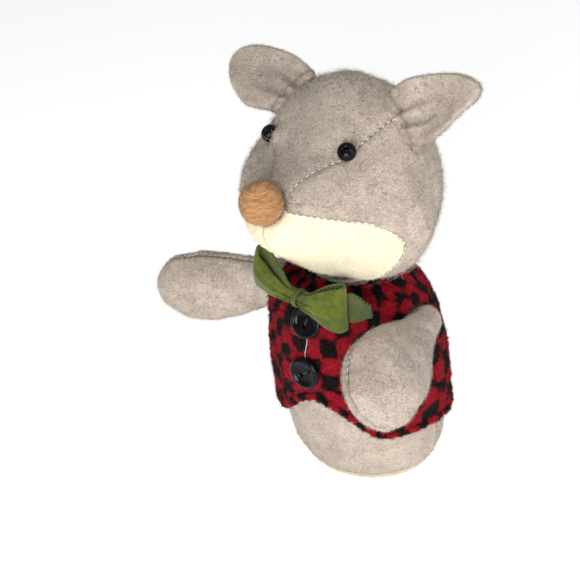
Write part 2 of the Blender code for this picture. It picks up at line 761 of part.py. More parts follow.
def build_bow(cloth):
    """A loop folded to each side of a stitched pinch, over a longer flat strip."""
    tilt = math.radians(BOW_TILT)
    right = vec((math.cos(tilt), 0.0, math.sin(tilt)))
    up = vec((-math.sin(tilt), 0.0, math.cos(tilt)))
    ahead = vec((0.0, -1.0, 0.0))
    centre = vec(BOW_CENTRE)

    def wing(hand, mark):
        length = BOW_WING_LEFT if hand > 0 else BOW_WING_RIGHT
        lean = math.radians(BOW_TILT if hand > 0 else BOW_TILT - BOW_RIGHT_RISE)
        along_wing = vec((math.cos(lean), 0.0, math.sin(lean)))
        across_wing = vec((-math.sin(lean), 0.0, math.cos(lean)))
        # Down the front layer, round the fold at the tip, and back along the rear layer.
        path = [(1.3, 1.55)]
        path += [(1.3 + (length - 4.0) * s, 1.55 + 2.1 * math.sin(math.pi * 0.5 * s)) for s in steps(0.12, 1.0, 7)]
        bend = [(length - 2.7 + 2.0 * math.sin(a), 1.65 + 2.0 * math.cos(a)) for a in steps(0.5, math.pi, 6)]
        path += bend
        path += [(1.6 + (length - 4.3) * s, -0.35 + 0.25 * (1.0 - s)) for s in steps(0.9, 0.0, 6)]

        def point(side):
            def place(u, v):
                here = vec(path[v])
                step = vec(path[min(v + 1, len(path) - 1)]) - vec(path[max(v - 1, 0)])
                out = unit((-step[1], step[0])) * side * BOW_CLOTH / 2
                reach = here[0] + out[0]
                half = 2.2 + 6.8 * smooth(0.0, length * 0.9, here[0])
                wave = 0.9 * math.cos(u * math.pi) * smooth(0.0, 16.0, here[0]) * (1 if v < 9 else 0.2)
                wave -= BOW_SWEEP * smooth(2.0, 30.0, here[0])
                turned = centre + along_wing * reach * hand + across_wing * half * u + ahead * (here[1] + out[1] + wave)
                return turned
            return place

        sheet(f"bow_{mark}_loop", point(1.0), point(-1.0), steps(-1.0, 1.0, 5), range(len(path)), cloth)

    wing(1, "left")
    wing(-1, "right")

    def strip(depth):
        def place(u, v):
            half = 1.8 + 6.0 * smooth(3.0, 24.0, abs(v))
            drop = 1.7 * smooth(3.0, 12.0, abs(v))
            bend = BOW_SWEEP * smooth(2.0, 30.0, abs(v)) + 0.6 * smooth(4.0, 12.0, abs(v))
            return centre + right * v + up * (half * u - drop) + ahead * (depth - bend)
        return place

    sheet(
        "bow_back_strip", strip(-1.6), strip(-1.6 - BOW_CLOTH), steps(-1.0, 1.0, 4),
        [-23.0, -20.0, -15.0, -10.0, -4.0, 4.0, 10.0, 16.0, 21.0, 25.0], cloth,
    )

    def wrap(u, v):
        out = up * (4.0 + 0.4 * math.cos(v)) * math.cos(u) + ahead * (4.1 + 0.4 * math.cos(v)) * math.sin(u)
        return centre - ahead * 0.1 + out + right * 0.4 * math.sin(v)

    return wrap


def build_bow_stitch(surface, cloth):
    rows = 20
    cols = 6
    points = [surface(u, v) for u in turn(rows) for v in turn(cols)]
    faces = []
    for i in range(rows):
        for j in range(cols):
            k = (i + 1) % rows
            m = (j + 1) % cols
            faces.append((i * cols + j, k * cols + j, k * cols + m, i * cols + m))
    add_mesh("bow_stitch", points, faces, cloth)


def hang(name, pivot, axis, children):
    """An empty on a joint's axis, with its Z along the axis, that carries the pieces that turn on it."""
    empty = bpy.data.objects.new(name, None)
    empty.empty_display_size = 0.01
    empty.location = [(c + m) * MM for c, m in zip(pivot, PLACE)]
    empty.rotation_euler = Vector(axis).to_track_quat("Z", "Y").to_euler()
    bpy.context.scene.collection.objects.link(empty)
    bpy.context.view_layer.update()
    for child in children:
        piece = bpy.data.objects[child]
        piece.parent = empty
        piece.matrix_parent_inverse = empty.matrix_world.inverted()
    return empty


def hang_joints():
    """Neck: turn, tilt, nod. Each arm: swing, raise. Each ear: flop."""
    turn_axis = hang("joint_head_turn", NECK, (0, 0, 1), ["neck_gather_thread"])
    tilt_axis = hang("joint_head_tilt", NECK, (0, 1, 0), ["neck_seam_thread"])
    skins = ["head_gusset", "head_left_side", "head_right_side", "chin_left_patch", "chin_right_patch"]
    inside = ["head_stuffing", "finger_tube"]
    face = ["nose_ball", "eye_left", "eye_right", "eye_left_thread", "eye_right_thread"]
    nod_axis = hang("joint_head_nod", NECK, (1, 0, 0), skins + inside + face)
    chain = [(turn_axis, tilt_axis), (tilt_axis, nod_axis)]
    for hand, mark, pose in ((1, "left", LEFT_ARM), (-1, "right", RIGHT_ARM)):
        pivot = (SHOULDER[0] * hand, SHOULDER[1], SHOULDER[2])
        forward = arm_axes(*pose)[0]
        swing = hang(f"joint_{mark}_arm_swing", pivot, (0, 0, 1), [f"shoulder_{mark}_seam_edge"])
        pieces = [f"arm_{mark}_outer_panel", f"arm_{mark}_inner_panel", f"paw_{mark}_stuffing"]
        lift = hang(f"joint_{mark}_arm_raise", pivot, tuple(frame_of(forward)[1]), pieces)
        hinge, across = ear_hinge(hand)
        ear = hang(
            f"joint_{mark}_ear_flop", hinge, tuple(across),
            [f"ear_{mark}_front_panel", f"ear_{mark}_back_panel"],
        )
        chain += [(swing, lift), (nod_axis, ear)]
    for parent, child in chain:
        child.parent = parent
        child.matrix_parent_inverse = parent.matrix_world.inverted()


def main():
    clear_scene()
    scene = bpy.context.scene
    scene.unit_settings.system = "METRIC"
    scene.unit_settings.scale_length = 1.0
    felt = material("grey_felt", GREY, 0.95)
    cream = material("cream_felt", CREAM, 0.95)
    plaid = material("vest_cloth", RED, 0.95)
    green = material("bow_cloth", GREEN, 0.9)
    tan = material("nose_felt", TAN, 0.95)
    gloss = material("black_gloss", BLACK, 0.12)
    thread = material("thread", WHITE, 0.8)
    fill = material("stuffing", FILL, 1.0)
    card = material("card", CARD, 0.8)
    holes = []
    for hand, mark in ((1, "left"), (-1, "right")):
        centre = (SHOULDER[0] * hand, SHOULDER[1], SHOULDER[2])
        holes.append(ball(f"cut_armhole_{mark}", centre, (ARMHOLE_RADIUS,) * 3, None, 20, 12, hidden=True))
    build_body(felt, cream, holes)
    build_vest(plaid, holes)
    build_buttons(gloss, thread)
    build_arm(1, LEFT_ARM, felt, fill)
    build_arm(-1, RIGHT_ARM, felt, fill)
    build_neck(thread)
    build_head(felt, cream, fill, card, tan)
    build_eyes(gloss, thread)
    build_ear(1, felt)
    build_ear(-1, felt)
    build_bow_stitch(build_bow(green), green)
    hang_joints()


main()
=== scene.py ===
import math

import bmesh
import bpy
import numpy as np
from mathutils import Matrix, Vector


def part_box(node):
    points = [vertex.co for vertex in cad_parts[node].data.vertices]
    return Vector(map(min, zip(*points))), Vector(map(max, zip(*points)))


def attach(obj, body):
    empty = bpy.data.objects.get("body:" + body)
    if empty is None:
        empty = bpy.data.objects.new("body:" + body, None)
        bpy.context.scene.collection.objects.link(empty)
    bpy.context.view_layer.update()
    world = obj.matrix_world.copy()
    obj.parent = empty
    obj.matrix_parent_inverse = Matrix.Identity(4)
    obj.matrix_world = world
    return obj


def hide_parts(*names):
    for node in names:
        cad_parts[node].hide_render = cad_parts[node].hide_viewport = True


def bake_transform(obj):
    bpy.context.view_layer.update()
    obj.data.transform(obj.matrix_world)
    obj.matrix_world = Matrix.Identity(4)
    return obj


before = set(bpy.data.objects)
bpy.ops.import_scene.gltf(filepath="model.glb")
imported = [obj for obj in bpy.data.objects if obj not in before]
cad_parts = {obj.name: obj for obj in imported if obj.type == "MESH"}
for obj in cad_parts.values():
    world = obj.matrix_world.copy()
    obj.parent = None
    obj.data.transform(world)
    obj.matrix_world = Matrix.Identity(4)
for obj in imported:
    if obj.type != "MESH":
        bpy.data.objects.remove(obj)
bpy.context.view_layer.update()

# Lengths below are in millimetres, measured from the body's upright axis at the level of the hem.
MM = 0.001
BODY_Y = 2.2
HEM_LOW, HEM_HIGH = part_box("hem_binding")
AXIS = np.array((HEM_LOW + HEM_HIGH) / 2) * 1000.0 - np.array((0.0, BODY_Y, 0.0))
AXIS[2] = HEM_LOW.z * 1000.0

FELT = 2.0
GAP = 0.3
BODY_PROFILE = [
    (28.4, 2.5), (30.4, 5.0), (31.9, 9.0), (33.3, 17.0), (34.2, 29.0), (34.2, 44.0),
    (33.2, 57.0), (31.0, 68.0), (27.6, 75.5), (22.8, 80.0), (17.2, 82.4), (13.4, 84.0),
]
BODY_DEPTH_RATIO = 0.84
HEM_RADIUS = 28.0
ARM_DENT = 9.0
VEST_GAP = 0.6
VEST_LAP = 1.8
VEST_CLOTH = 1.7
VEST_HEM = (24.0, 28.0, 45.5)       # back, side, centre front
VEST_LAP_EDGE = -20.0
VEST_UNDER_EDGE = 8.0
VEST_COLLAR = 0.955
GIRTH_RADIUS = 32.0     # turns an angle round the body into a length of cloth
MM_PER_DEGREE = 0.56
ROLL_LUMP = 4.3
ROLL_RADIUS = {"hem": 1.6, "collar": 1.25, "edge": 0.5, "armhole": 1.9}
CHECK_PITCH = 7.0

SHOULDER = np.array((32.5, 2.0, 68.5))
ROOT_RADIUS = 9.2
BODY_ARMHOLE = 10.6
ARMHOLE = {1: 8.4, -1: 10.1}     # in the vest
ROOT_SHARE = {1: 0.60, -1: 1.0}    # the left sleeve is gathered this narrow where it enters the vest
ARM_LENGTH = 58.0
PAW_START = 31.0       # the paw's stuffing begins this far along the arm
ARM_PROFILE = [
    (0.0, 9.2, 9.2), (10.0, 11.0, 8.8), (20.0, 13.6, 9.3), (30.0, 15.2, 9.9),
    (38.0, 15.5, 10.0), (45.0, 14.5, 9.2), (51.0, 11.6, 7.2), (55.5, 7.2, 4.4), (58.0, 0.0, 0.0),
]
ARM_POSE = {1: (11.0, 3.5, 38.0), -1: (-70.0, -8.0, -4.0)}

HEAD_CENTRE = np.array((0.0, 2.2, 115.0))
HEAD_BLOBS = [
    ((0.0, 12.3, 117.6), (33.3, 27.3, 38.5)),
    ((0.0, -1.9, 112.6), (38.9, 21.3, 28.4)),
    ((0.0, -15.0, 118.5), (24.0, 19.0, 18.0)),
    ((0.0, -26.0, 120.6), (13.6, 13.6, 11.3)),
]
BLEND = 2.6
DOME_CENTRE = np.array((0.0, 2.2, 50.1))
DOME_RADIUS = 45.0
NECK_HOLE = 12.6
GUSSET = [
    (24.0, 4.5), (31.0, 5.8), (41.0, 7.8), (50.0, 11.3), (59.0, 15.0), (74.0, 18.2),
    (86.0, 20.6), (97.0, 22.2), (106.0, 23.0), (130.0, 19.0), (155.0, 11.0), (174.0, 3.4), (181.0, 1.2),
]
PATCH = [
    (-60.0, 23.0), (-50.0, 30.5), (-41.0, 34.0), (-30.0, 35.6), (-18.0, 35.7), (-8.0, 34.8),
    (1.0, 33.2), (8.0, 30.6), (14.0, 26.4), (19.5, 19.0),
]
NOSE_LOW, NOSE_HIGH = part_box("nose_ball")
NOSE_CENTRE = np.array((NOSE_LOW + NOSE_HIGH) / 2) * 1000.0 - AXIS
NOSE_RADIUS = (NOSE_HIGH.x - NOSE_LOW.x) * 500.0
EYE_X = {1: 15.75, -1: 19.5}
FAR_EYE_SINK = 2.3       # the right bead's thread pulls it this far into the felt
EYE_Z = 139.0

EAR_BASE = {1: (24.6, 11.4, 144.9), -1: (21.5, 11.4, 144.9)}
EAR_TIP = {1: (52.0, 15.0, 157.8), -1: (47.5, 17.0, 153.0)}
EAR_ACROSS = {1: (0.63, -0.35, -0.69), -1: (0.58, -0.50, -0.64)}
EAR_LIFT = 2.2
EAR_HUG = 0.012
EAR_LEAF = [
    (0.0, 10.6), (3.0, 11.2), (8.0, 11.4), (14.0, 10.4), (20.0, 8.8), (25.0, 6.8), (28.4, 4.4), (30.2, 1.6),
]
EAR_CUP = 2.6

BUTTON_RADIUS = 6.3
HOLE_OFFSET = 1.75
BUTTONS = {"upper": (74.5, 1.5), "lower": (56.5, 1.0)}
BOW_CENTRE = np.array((0.5, -27.8, 88.2))
BOW_SWEEP = 6.0
BOW_TILT = -4.0
BOW_WING = {1: 19.0, -1: 22.5}
BOW_RIGHT_RISE = 13.0
MARK = {1: "left", -1: "right"}


# ---------------------------------------------------------------- small tools

def vec(values):
    return np.array(values, float)


def unit(values):
    values = np.asarray(values, float)
    return values / np.maximum(np.linalg.norm(values, axis=-1, keepdims=True), 1e-12)


def turns(count):
    """Angles evenly round a circle."""
    return np.linspace(0.0, 2 * math.pi, count, endpoint=False)


def in_world(point):
    """A point in metres in the shared frame."""
    return tuple((point + AXIS) * MM)


def shoulder(hand):
    return SHOULDER * vec((hand, 1, 1))


def smooth(low, high, value):
    share = np.clip((np.asarray(value, float) - low) / (high - low), 0.0, 1.0)
    return share * share * (3.0 - 2.0 * share)


def spline(knots, share):
    """Catmull-Rom through the knots; share runs 0 to 1 over them."""
    knots = np.array(knots, float)
    last = len(knots) - 1
    place = np.clip(np.asarray(share, float), 0.0, 1.0) * last
    i = np.minimum(place.astype(int), last - 1)
    t = (place - i)[..., None]
    a = knots[np.maximum(i - 1, 0)]
    b = knots[i]
    c = knots[i + 1]
    d = knots[np.minimum(i + 2, last)]
    return 0.5 * (2 * b + (c - a) * t + (2 * a - 5 * b + 4 * c - d) * t**2 + (3 * b - a - 3 * c + d) * t**3)


def along(knots, value):
    """The knots' other columns where their first column has this value."""
    knots = np.array(knots, float)
    value = np.asarray(value, float)
    i = np.clip(np.searchsorted(knots[:, 0], value) - 1, 0, len(knots) - 2)
    share = (i + (value - knots[i, 0]) / (knots[i + 1, 0] - knots[i, 0])) / (len(knots) - 1)
    return spline(knots, share)[..., 1:]


def ripple(points, size, seed):
    """Smooth unevenness of about this size, roughly within -1 and 1."""
    rng = np.random.default_rng(seed)
    total = np.zeros(points.shape[:-1])
    for _ in range(9):
        way = unit(rng.normal(size=3))
        pitch = size * rng.uniform(0.7, 1.5)
        total += np.sin(points @ way * (2 * math.pi / pitch) + rng.uniform(0.0, 2 * math.pi))
    return total / 4.0


def put(name, points, faces, look, uv=None, shade=None, check=None):
    """A mesh object from points in millimetres; faces are arrays of one face size each."""
    points = np.asarray(points, float).reshape(-1, 3)
    world = ((points + AXIS) * MM).astype(np.float32)
    faces = [np.asarray(f, np.int32) for f in faces if len(f)]
    loops = np.concatenate([f.ravel() for f in faces])
    sizes = np.concatenate([np.full(len(f), f.shape[1]) for f in faces])
    starts = np.concatenate([[0], np.cumsum(sizes)[:-1]]).astype(np.int32)
    mesh = bpy.data.meshes.new(name)
    mesh.vertices.add(len(world))
    mesh.vertices.foreach_set("co", world.ravel())
    mesh.loops.add(len(loops))
    mesh.loops.foreach_set("vertex_index", loops)
    mesh.polygons.add(len(sizes))
    mesh.polygons.foreach_set("loop_start", starts)
    mesh.update(calc_edges=True)
    if uv is not None:
        layer = mesh.uv_layers.new(name="cloth")
        flat = np.asarray(uv, np.float32).reshape(-1, 2)[loops]
        layer.data.foreach_set("uv", flat.ravel())
    if shade is not None:
        attribute = mesh.attributes.new("shade", "FLOAT", "POINT")
        attribute.data.foreach_set("value", np.asarray(shade, np.float32).ravel())
    if check is not None:
        attribute = mesh.attributes.new("check", "FLOAT", "POINT")
        attribute.data.foreach_set("value", np.asarray(check, np.float32).ravel())
    looks = look if isinstance(look, (list, tuple)) else [look]
    for each in looks:
        mesh.materials.append(each)
    mesh.polygons.foreach_set("use_smooth", np.ones(len(sizes), bool))
    mesh.validate()
    obj = bpy.data.objects.new(name, mesh)
    bpy.context.scene.collection.objects.link(obj)
    return obj


def tidy_mesh(obj, within=2e-6):
    """Joins points that coincide, as at a tip, and faces everything outwards."""
    made = bmesh.new()
    made.from_mesh(obj.data)
    bmesh.ops.remove_doubles(made, verts=made.verts, dist=within)
    bmesh.ops.dissolve_degenerate(made, edges=made.edges, dist=1e-7)
    bmesh.ops.recalc_face_normals(made, faces=made.faces)
    made.to_mesh(obj.data)
    made.free()
    obj.data.update()
    return obj


def grid_faces(rows, cols, wrap_rows=False, wrap_cols=False, start=0, flip=False):
    i = np.arange(rows if wrap_rows else rows - 1)
    j = np.arange(cols if wrap_cols else cols - 1)
    i, j = np.meshgrid(i, j, indexing="ij")
    k = (i + 1) % rows
    m = (j + 1) % cols
    quads = np.stack([i * cols + j, k * cols + j, k * cols + m, i * cols + m], -1).reshape(-1, 4) + start
    return quads[:, ::-1] if flip else quads


def shell(name, outer, inner, look, wrap=False, uv=None, shade=None, check=None):
    """A closed cloth layer between two grids of points with the same shape."""
    rows, cols = outer.shape[:2]
    count = rows * cols
    faces = [grid_faces(rows, cols, wrap), grid_faces(rows, cols, wrap, start=count, flip=True)]
    index = np.arange(count).reshape(rows, cols)
    edges = [(index[:, 0], wrap), (index[:, -1], wrap)]
    if not wrap:
        edges += [(index[0, :], False), (index[-1, :], False)]
    for edge, closed in edges:
        ahead = np.roll(edge, -1) if closed else edge[1:]
        here = edge if closed else edge[:-1]
        faces.append(np.stack([here, ahead, ahead + count, here + count], -1))
    points = np.concatenate([outer.reshape(-1, 3), inner.reshape(-1, 3)])
    if uv is not None:
        uv = np.concatenate([uv.reshape(-1, 2)] * 2)
    if shade is not None:
        shade = np.concatenate([shade.ravel()] * 2)
    if check is not None:
        check = np.concatenate([check.ravel()] * 2)
    made = put(name, points, faces, look, uv, shade, check)
    if isinstance(look, list):
        index = np.zeros(sum(len(f) for f in faces), np.int32)
        index[len(faces[0]):len(faces[0]) + len(faces[1])] = 1
        made.data.polygons.foreach_set("material_index", index)
    return tidy_mesh(made)


def lathe(name, centre, side, up, out, profile, look, sides=48):
    """A closed turned solid; the profile runs from the axis to the axis, or round a hole if it closes."""
    profile = np.array(profile, float)
    a = turns(sides)
    ring = side * np.cos(a)[:, None] + up * np.sin(a)[:, None]
    points = centre + ring[:, None, :] * profile[None, :, 0, None] + out * profile[None, :, 1, None]
    closed = bool(profile[0, 0] > 1e-6)
    faces = grid_faces(sides, len(profile), True, closed)
    return tidy_mesh(put(name, points, [faces], look))


def tubes(name, paths, radius, look, sides=6, taper=True, uv=None):
    """Closed round strands along lists of points, all in one piece."""
    points = []
    faces = []
    tris = []
    shades = []
    start = 0
    for number, path in enumerate(paths):
        path = vec(path)
        count = len(path)
        ahead = unit(np.gradient(path, axis=0))
        hint = vec((0.31, 0.52, 0.79))
        side = unit(np.cross(ahead, hint))
        up = np.cross(ahead, side)
        size = np.full(count, float(radius))
        if taper:
            size[0] *= 0.55
            size[-1] *= 0.55
        a = turns(sides)
        ring = side[:, None] * np.cos(a)[None, :, None] + up[:, None] * np.sin(a)[None, :, None]
        points.append((path[:, None] + ring * size[:, None, None]).reshape(-1, 3))
        points.append(path[:1] - ahead[:1] * size[0] * 0.6)
        points.append(path[-1:] + ahead[-1:] * size[-1] * 0.6)
        faces.append(grid_faces(count, sides, False, True, start))
        first = start + count * sides
        low = start + np.arange(sides)
        high = low + (count - 1) * sides
        tris.append(np.stack([np.roll(low, -1), low, np.full(sides, first)], -1))
        tris.append(np.stack([high, np.roll(high, -1), np.full(sides, first + 1)], -1))
        if uv is not None:
            shades.append(np.repeat(np.asarray(uv[number], float), sides, axis=0))
            shades.append(np.asarray(uv[number], float)[[0, -1]])
        start = first + 2
    made = None if uv is None else np.concatenate(shades)
    obj = put(name, np.concatenate(points), [np.concatenate(faces), np.concatenate(tris)], look, uv=made)
    return tidy_mesh(obj, 1e-9)


def carve(obj):
    """Takes the active object out of a closed piece and deletes it."""
    cutter = bpy.context.object
    modifier = obj.modifiers.new("hole", "BOOLEAN")
    modifier.operation = "DIFFERENCE"
    modifier.solver = "EXACT"
    modifier.object = cutter
    bpy.context.view_layer.objects.active = obj
    bpy.ops.object.modifier_apply(modifier=modifier.name)
    bpy.data.objects.remove(cutter)


def cut(obj, centre, radius):
    """Takes a ball out of a closed cloth layer, leaving an armhole."""
    bpy.ops.mesh.primitive_uv_sphere_add(
        segments=64, ring_count=32, radius=radius * MM, location=in_world(centre)
    )
    carve(obj)


def bore(obj, centre, way, radius, depth):
    """Drills a round hole through a piece."""
    turn = Vector(way).to_track_quat("Z", "Y")
    bpy.ops.mesh.primitive_cylinder_add(
        vertices=32, radius=radius * MM, depth=depth * MM, location=in_world(centre),
        rotation=turn.to_euler(),
    )
    carve(obj)


def fuzz(name, sources, density, length, thick, looks, seed, rise=0.55, keep=None):
    """Short tapered wool fibres standing off the surfaces of some pieces, in one piece of its own."""
    rng = np.random.default_rng(seed)
    roots = []
    normals = []
    checks = []
    for obj in sources:
        mesh = obj.data
        mesh.calc_loop_triangles()
        co = np.empty(len(mesh.vertices) * 3, np.float32)
        mesh.vertices.foreach_get("co", co)
        co = co.reshape(-1, 3).astype(float) / MM - AXIS
        tris = np.empty(len(mesh.loop_triangles) * 3, np.int32)
        mesh.loop_triangles.foreach_get("vertices", tris)
        tris = tris.reshape(-1, 3)
        a, b, c = co[tris[:, 0]], co[tris[:, 1]], co[tris[:, 2]]
        normal = np.cross(b - a, c - a)
        area = np.linalg.norm(normal, axis=1) / 2
        normal = unit(normal)
        if keep is not None:
            area = area * keep((a + b + c) / 3, normal)
        count = int(area.sum() * density)
        pick = rng.choice(len(area), count, p=area / area.sum())
        r1 = np.sqrt(rng.random(count))[:, None]
        r2 = rng.random(count)[:, None]
        roots.append(a[pick] * (1 - r1) + b[pick] * r1 * (1 - r2) + c[pick] * r1 * r2)
        normals.append(normal[pick])
        if "check" in mesh.attributes:
            values = np.empty(len(mesh.vertices), np.float32)
            mesh.attributes["check"].data.foreach_get("value", values)
            checks.append(values[tris[pick, 0]])
    roots = np.concatenate(roots)
    normals = np.concatenate(normals)
    count = len(roots)
    lean = rng.normal(size=(count, 3))
    lean = unit(lean - normals * np.sum(lean * normals, axis=1, keepdims=True))
    other = np.cross(normals, lean)
    size = length * rng.uniform(0.45, 1.3, count)[:, None]
    lift = rise * rng.uniform(0.3, 1.0, count)[:, None]
    middle = roots + (lean * (1 - lift) * 0.75 + normals * (lift * 0.9 + 0.12)) * size * 0.5
    bend = rng.uniform(-0.5, 0.5, count)[:, None]
    tip = middle + (lean * 0.8 + other * bend + normals * (lift * 0.5 - 0.12)) * size * 0.5
    base = roots - normals * 0.12
    rings = []
    for place, wide in ((base, 1.0), (middle, 0.8)):
        for a in (0.0, 2.1, 4.2):
            rings.append(place + (other * math.cos(a) + normals * math.sin(a)) * thick * wide)
    points = np.stack(rings + [tip], 1)
    sides = [(0, 3, 4, 1), (1, 4, 5, 2), (2, 5, 3, 0)]
    ends = [(3, 6, 4), (4, 6, 5), (5, 6, 3), (0, 1, 2)]
    offset = (np.arange(count) * 7)[:, None, None]
    quads = (np.array(sides)[None] + offset).reshape(-1, 4)
    tris = (np.array(ends)[None] + offset).reshape(-1, 3)
    obj = put(name, points, [quads, tris], looks)
    tone = rng.integers(0, len(looks), count)
    if checks:
        half = len(looks) // 2
        tone = tone % half + half * (np.concatenate(checks) + rng.normal(0.0, 0.2, count) > 0.02)
    index = np.concatenate([np.repeat(tone, 3), np.repeat(tone, 4)]).astype(np.int32)
    obj.data.polygons.foreach_set("material_index", index)
    return obj


def settle(obj, body, nodes=()):
    """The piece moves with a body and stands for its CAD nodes."""
    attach(obj, body)
    if nodes:
        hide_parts(*nodes)
    return obj


# ---------------------------------------------------------------- materials

class Look:
    """A Principled material with short calls for its pattern nodes."""

    def __init__(self, name, roughness=0.9, sheen=0.0, specular=0.3):
        self.material = bpy.data.materials.new(name)
        self.material.use_nodes = True
        self.tree = self.material.node_tree
        self.shader = self.tree.nodes["Principled BSDF"]
        self.shader.inputs["Roughness"].default_value = roughness
        self.shader.inputs["Sheen Weight"].default_value = sheen
        self.shader.inputs["Sheen Roughness"].default_value = 0.45
        self.shader.inputs["Specular IOR Level"].default_value = specular
        self.place = self.node("ShaderNodeTexCoord").outputs["Object"]

    def node(self, kind, links=(), **settings):
        made = self.tree.nodes.new(kind)
        for key, value in settings.items():
            setattr(made, key, value)
        for key, value in dict(links).items():
            socket = made.inputs[key]
            if isinstance(value, bpy.types.NodeSocket):
                self.tree.links.new(value, socket)
            else:
                socket.default_value = value
        return made

    def maths(self, operation, a, b=0.0, clamp=False):
        return self.node("ShaderNodeMath", {0: a, 1: b}, operation=operation, use_clamp=clamp).outputs[0]

    def stretched(self, scale, turn=(0.0, 0.0, 0.0), source=None):
        """The place, turned and then scaled separately along each axis."""
        turned = self.node("ShaderNodeMapping", {"Vector": source or self.place, "Rotation": turn})
        return self.node("ShaderNodeMapping", {"Vector": turned.outputs[0], "Scale": scale}).outputs[0]

    def noise(self, vector, scale=1.0, detail=2.0, rough=0.5):
        links = {"Vector": vector, "Scale": scale, "Detail": detail, "Roughness": rough}
        return self.node("ShaderNodeTexNoise", links).outputs["Fac"]

    def band(self, value, low, high):
        """0 below low, 1 above high, smooth between."""
        return self.node(
            "ShaderNodeMapRange", {"Value": value, "From Min": low, "From Max": high},
            interpolation_type="SMOOTHSTEP",
        ).outputs[0]

    def mix(self, share, a, b):
        made = self.node("ShaderNodeMix", data_type="RGBA")
        for index, value in ((0, share), (6, a), (7, b)):
            if isinstance(value, bpy.types.NodeSocket):
                self.tree.links.new(value, made.inputs[index])
            elif index == 0:
                made.inputs[0].default_value = value
            else:
                made.inputs[index].default_value = (*value, 1.0)
        return made.outputs[2]

    def colour(self, value):
        self.tree.links.new(value, self.shader.inputs["Base Color"])

    def bump(self, height, strength, distance):
        links = {"Height": height, "Strength": strength, "Distance": distance * MM}
        made = self.node("ShaderNodeBump", links)
        self.tree.links.new(made.outputs[0], self.shader.inputs["Normal"])

    def shade(self):
        return self.node("ShaderNodeAttribute", attribute_name="shade").outputs["Fac"]

    def uv(self):
        return self.node("ShaderNodeUVMap", uv_map="cloth").outputs[0]


def felt_look(name, pale, dull, dark, strokes=1.0, deep=0.5, pale_strokes=0.35):
    """Pressed wool: mottled, with short dark and pale fibres lying every way, mostly level."""
    look = Look(name, roughness=0.92, sheen=0.12, specular=0.15)
    swirl = {"Vector": look.place, "Scale": 70.0, "Detail": 2.0}
    swirl = look.node("ShaderNodeTexNoise", swirl).outputs["Color"]
    shift = look.node("ShaderNodeVectorMath", {0: swirl, 1: (0.5, 0.5, 0.5)}, operation="SUBTRACT").outputs[0]
    shift = look.node("ShaderNodeVectorMath", {0: shift, "Scale": 0.009}, operation="SCALE").outputs[0]
    place = look.node("ShaderNodeVectorMath", {0: look.place, 1: shift}).outputs[0]
    mottle = look.band(look.noise(look.place, 85.0, 3.0, 0.6), 0.32, 0.68)
    speckle = look.band(look.noise(look.place, 520.0, 3.0, 0.65), 0.4, 0.66)
    blotch = look.band(look.noise(look.place, 38.0, 3.0, 0.6), 0.38, 0.66)
    tone = look.mix(look.maths("MULTIPLY", mottle, 0.6), pale, dull)
    tone = look.mix(look.maths("MULTIPLY", blotch, 0.35), tone, dull)
    tone = look.mix(look.maths("MULTIPLY", speckle, 0.4), tone, dull)
    total = None
    brighter = tuple(min(c * 1.25, 0.95) for c in pale)
    for number, (turn, scale) in enumerate((
        ((0.0, 0.25, 0.5), (480.0, 1300.0, 3600.0)),
        ((0.5, 0.0, 1.6), (450.0, 2200.0, 3000.0)),
        ((0.1, -0.45, -0.7), (520.0, 1700.0, 3900.0)),
    )):
        hair = look.noise(look.stretched(scale, turn, place), 1.0, 1.5, 0.5)
        dark_hair = look.band(hair, 0.60, 0.70)
        pale_hair = look.band(hair, 0.40, 0.30)
        patchy = look.band(look.noise(look.place, 130.0 + 40.0 * number, 2.0), 0.36, 0.66)
        share = look.maths("MULTIPLY", dark_hair, look.maths("MULTIPLY_ADD", patchy, 0.75 * strokes))
        tone = look.mix(look.maths("MULTIPLY", share, deep, clamp=True), tone, dark)
        tone = look.mix(look.maths("MULTIPLY", pale_hair, pale_strokes), tone, brighter)
        total = hair if total is None else look.maths("ADD", total, hair)
    tone = look.mix(look.shade(), tone, dark)
    look.colour(tone)
    grain = look.noise(look.place, 1500.0, 3.0, 0.7)
    look.bump(look.maths("ADD", total, grain), 0.55, 0.35)
    return look.material


def plaid_look(name):
    """Brushed fleece in a black and red check."""
    look = Look(name, roughness=0.95, sheen=0.04, specular=0.06)
    cloth = look.uv()
    check = look.node("ShaderNodeAttribute", attribute_name="check").outputs["Fac"]
    pile = look.noise(look.stretched((1.0, 0.45, 1.0), (0.0, 0.0, 0.7), cloth), 2.0, 4.0, 0.75)
    fray = look.maths("MULTIPLY_ADD", pile, 1.6)
    fray.node.inputs[2].default_value = -0.8
    black = look.band(look.maths("ADD", check, fray), -0.10, 0.14)
    red = look.mix(look.band(pile, 0.35, 0.7), (0.17, 0.003, 0.008), (0.46, 0.008, 0.022))
    strand = look.noise(look.stretched((900.0, 260.0, 2200.0), (0.3, 0.4, 0.2)), 1.0, 2.0)
    red = look.mix(look.maths("MULTIPLY", look.band(strand, 0.6, 0.72), 0.55), red, (0.10, 0.004, 0.008))
    dark = look.mix(look.band(pile, 0.4, 0.75), (0.003, 0.002, 0.0025), (0.016, 0.008, 0.009))
    tone = look.mix(black, red, dark)
    tone = look.mix(look.shade(), tone, (0.01, 0.004, 0.005))
    look.colour(tone)
    grain = look.noise(look.place, 900.0, 4.0, 0.75)
    look.bump(look.maths("ADD", look.maths("MULTIPLY", pile, 1.5), grain), 0.9, 0.6)
    return look.material


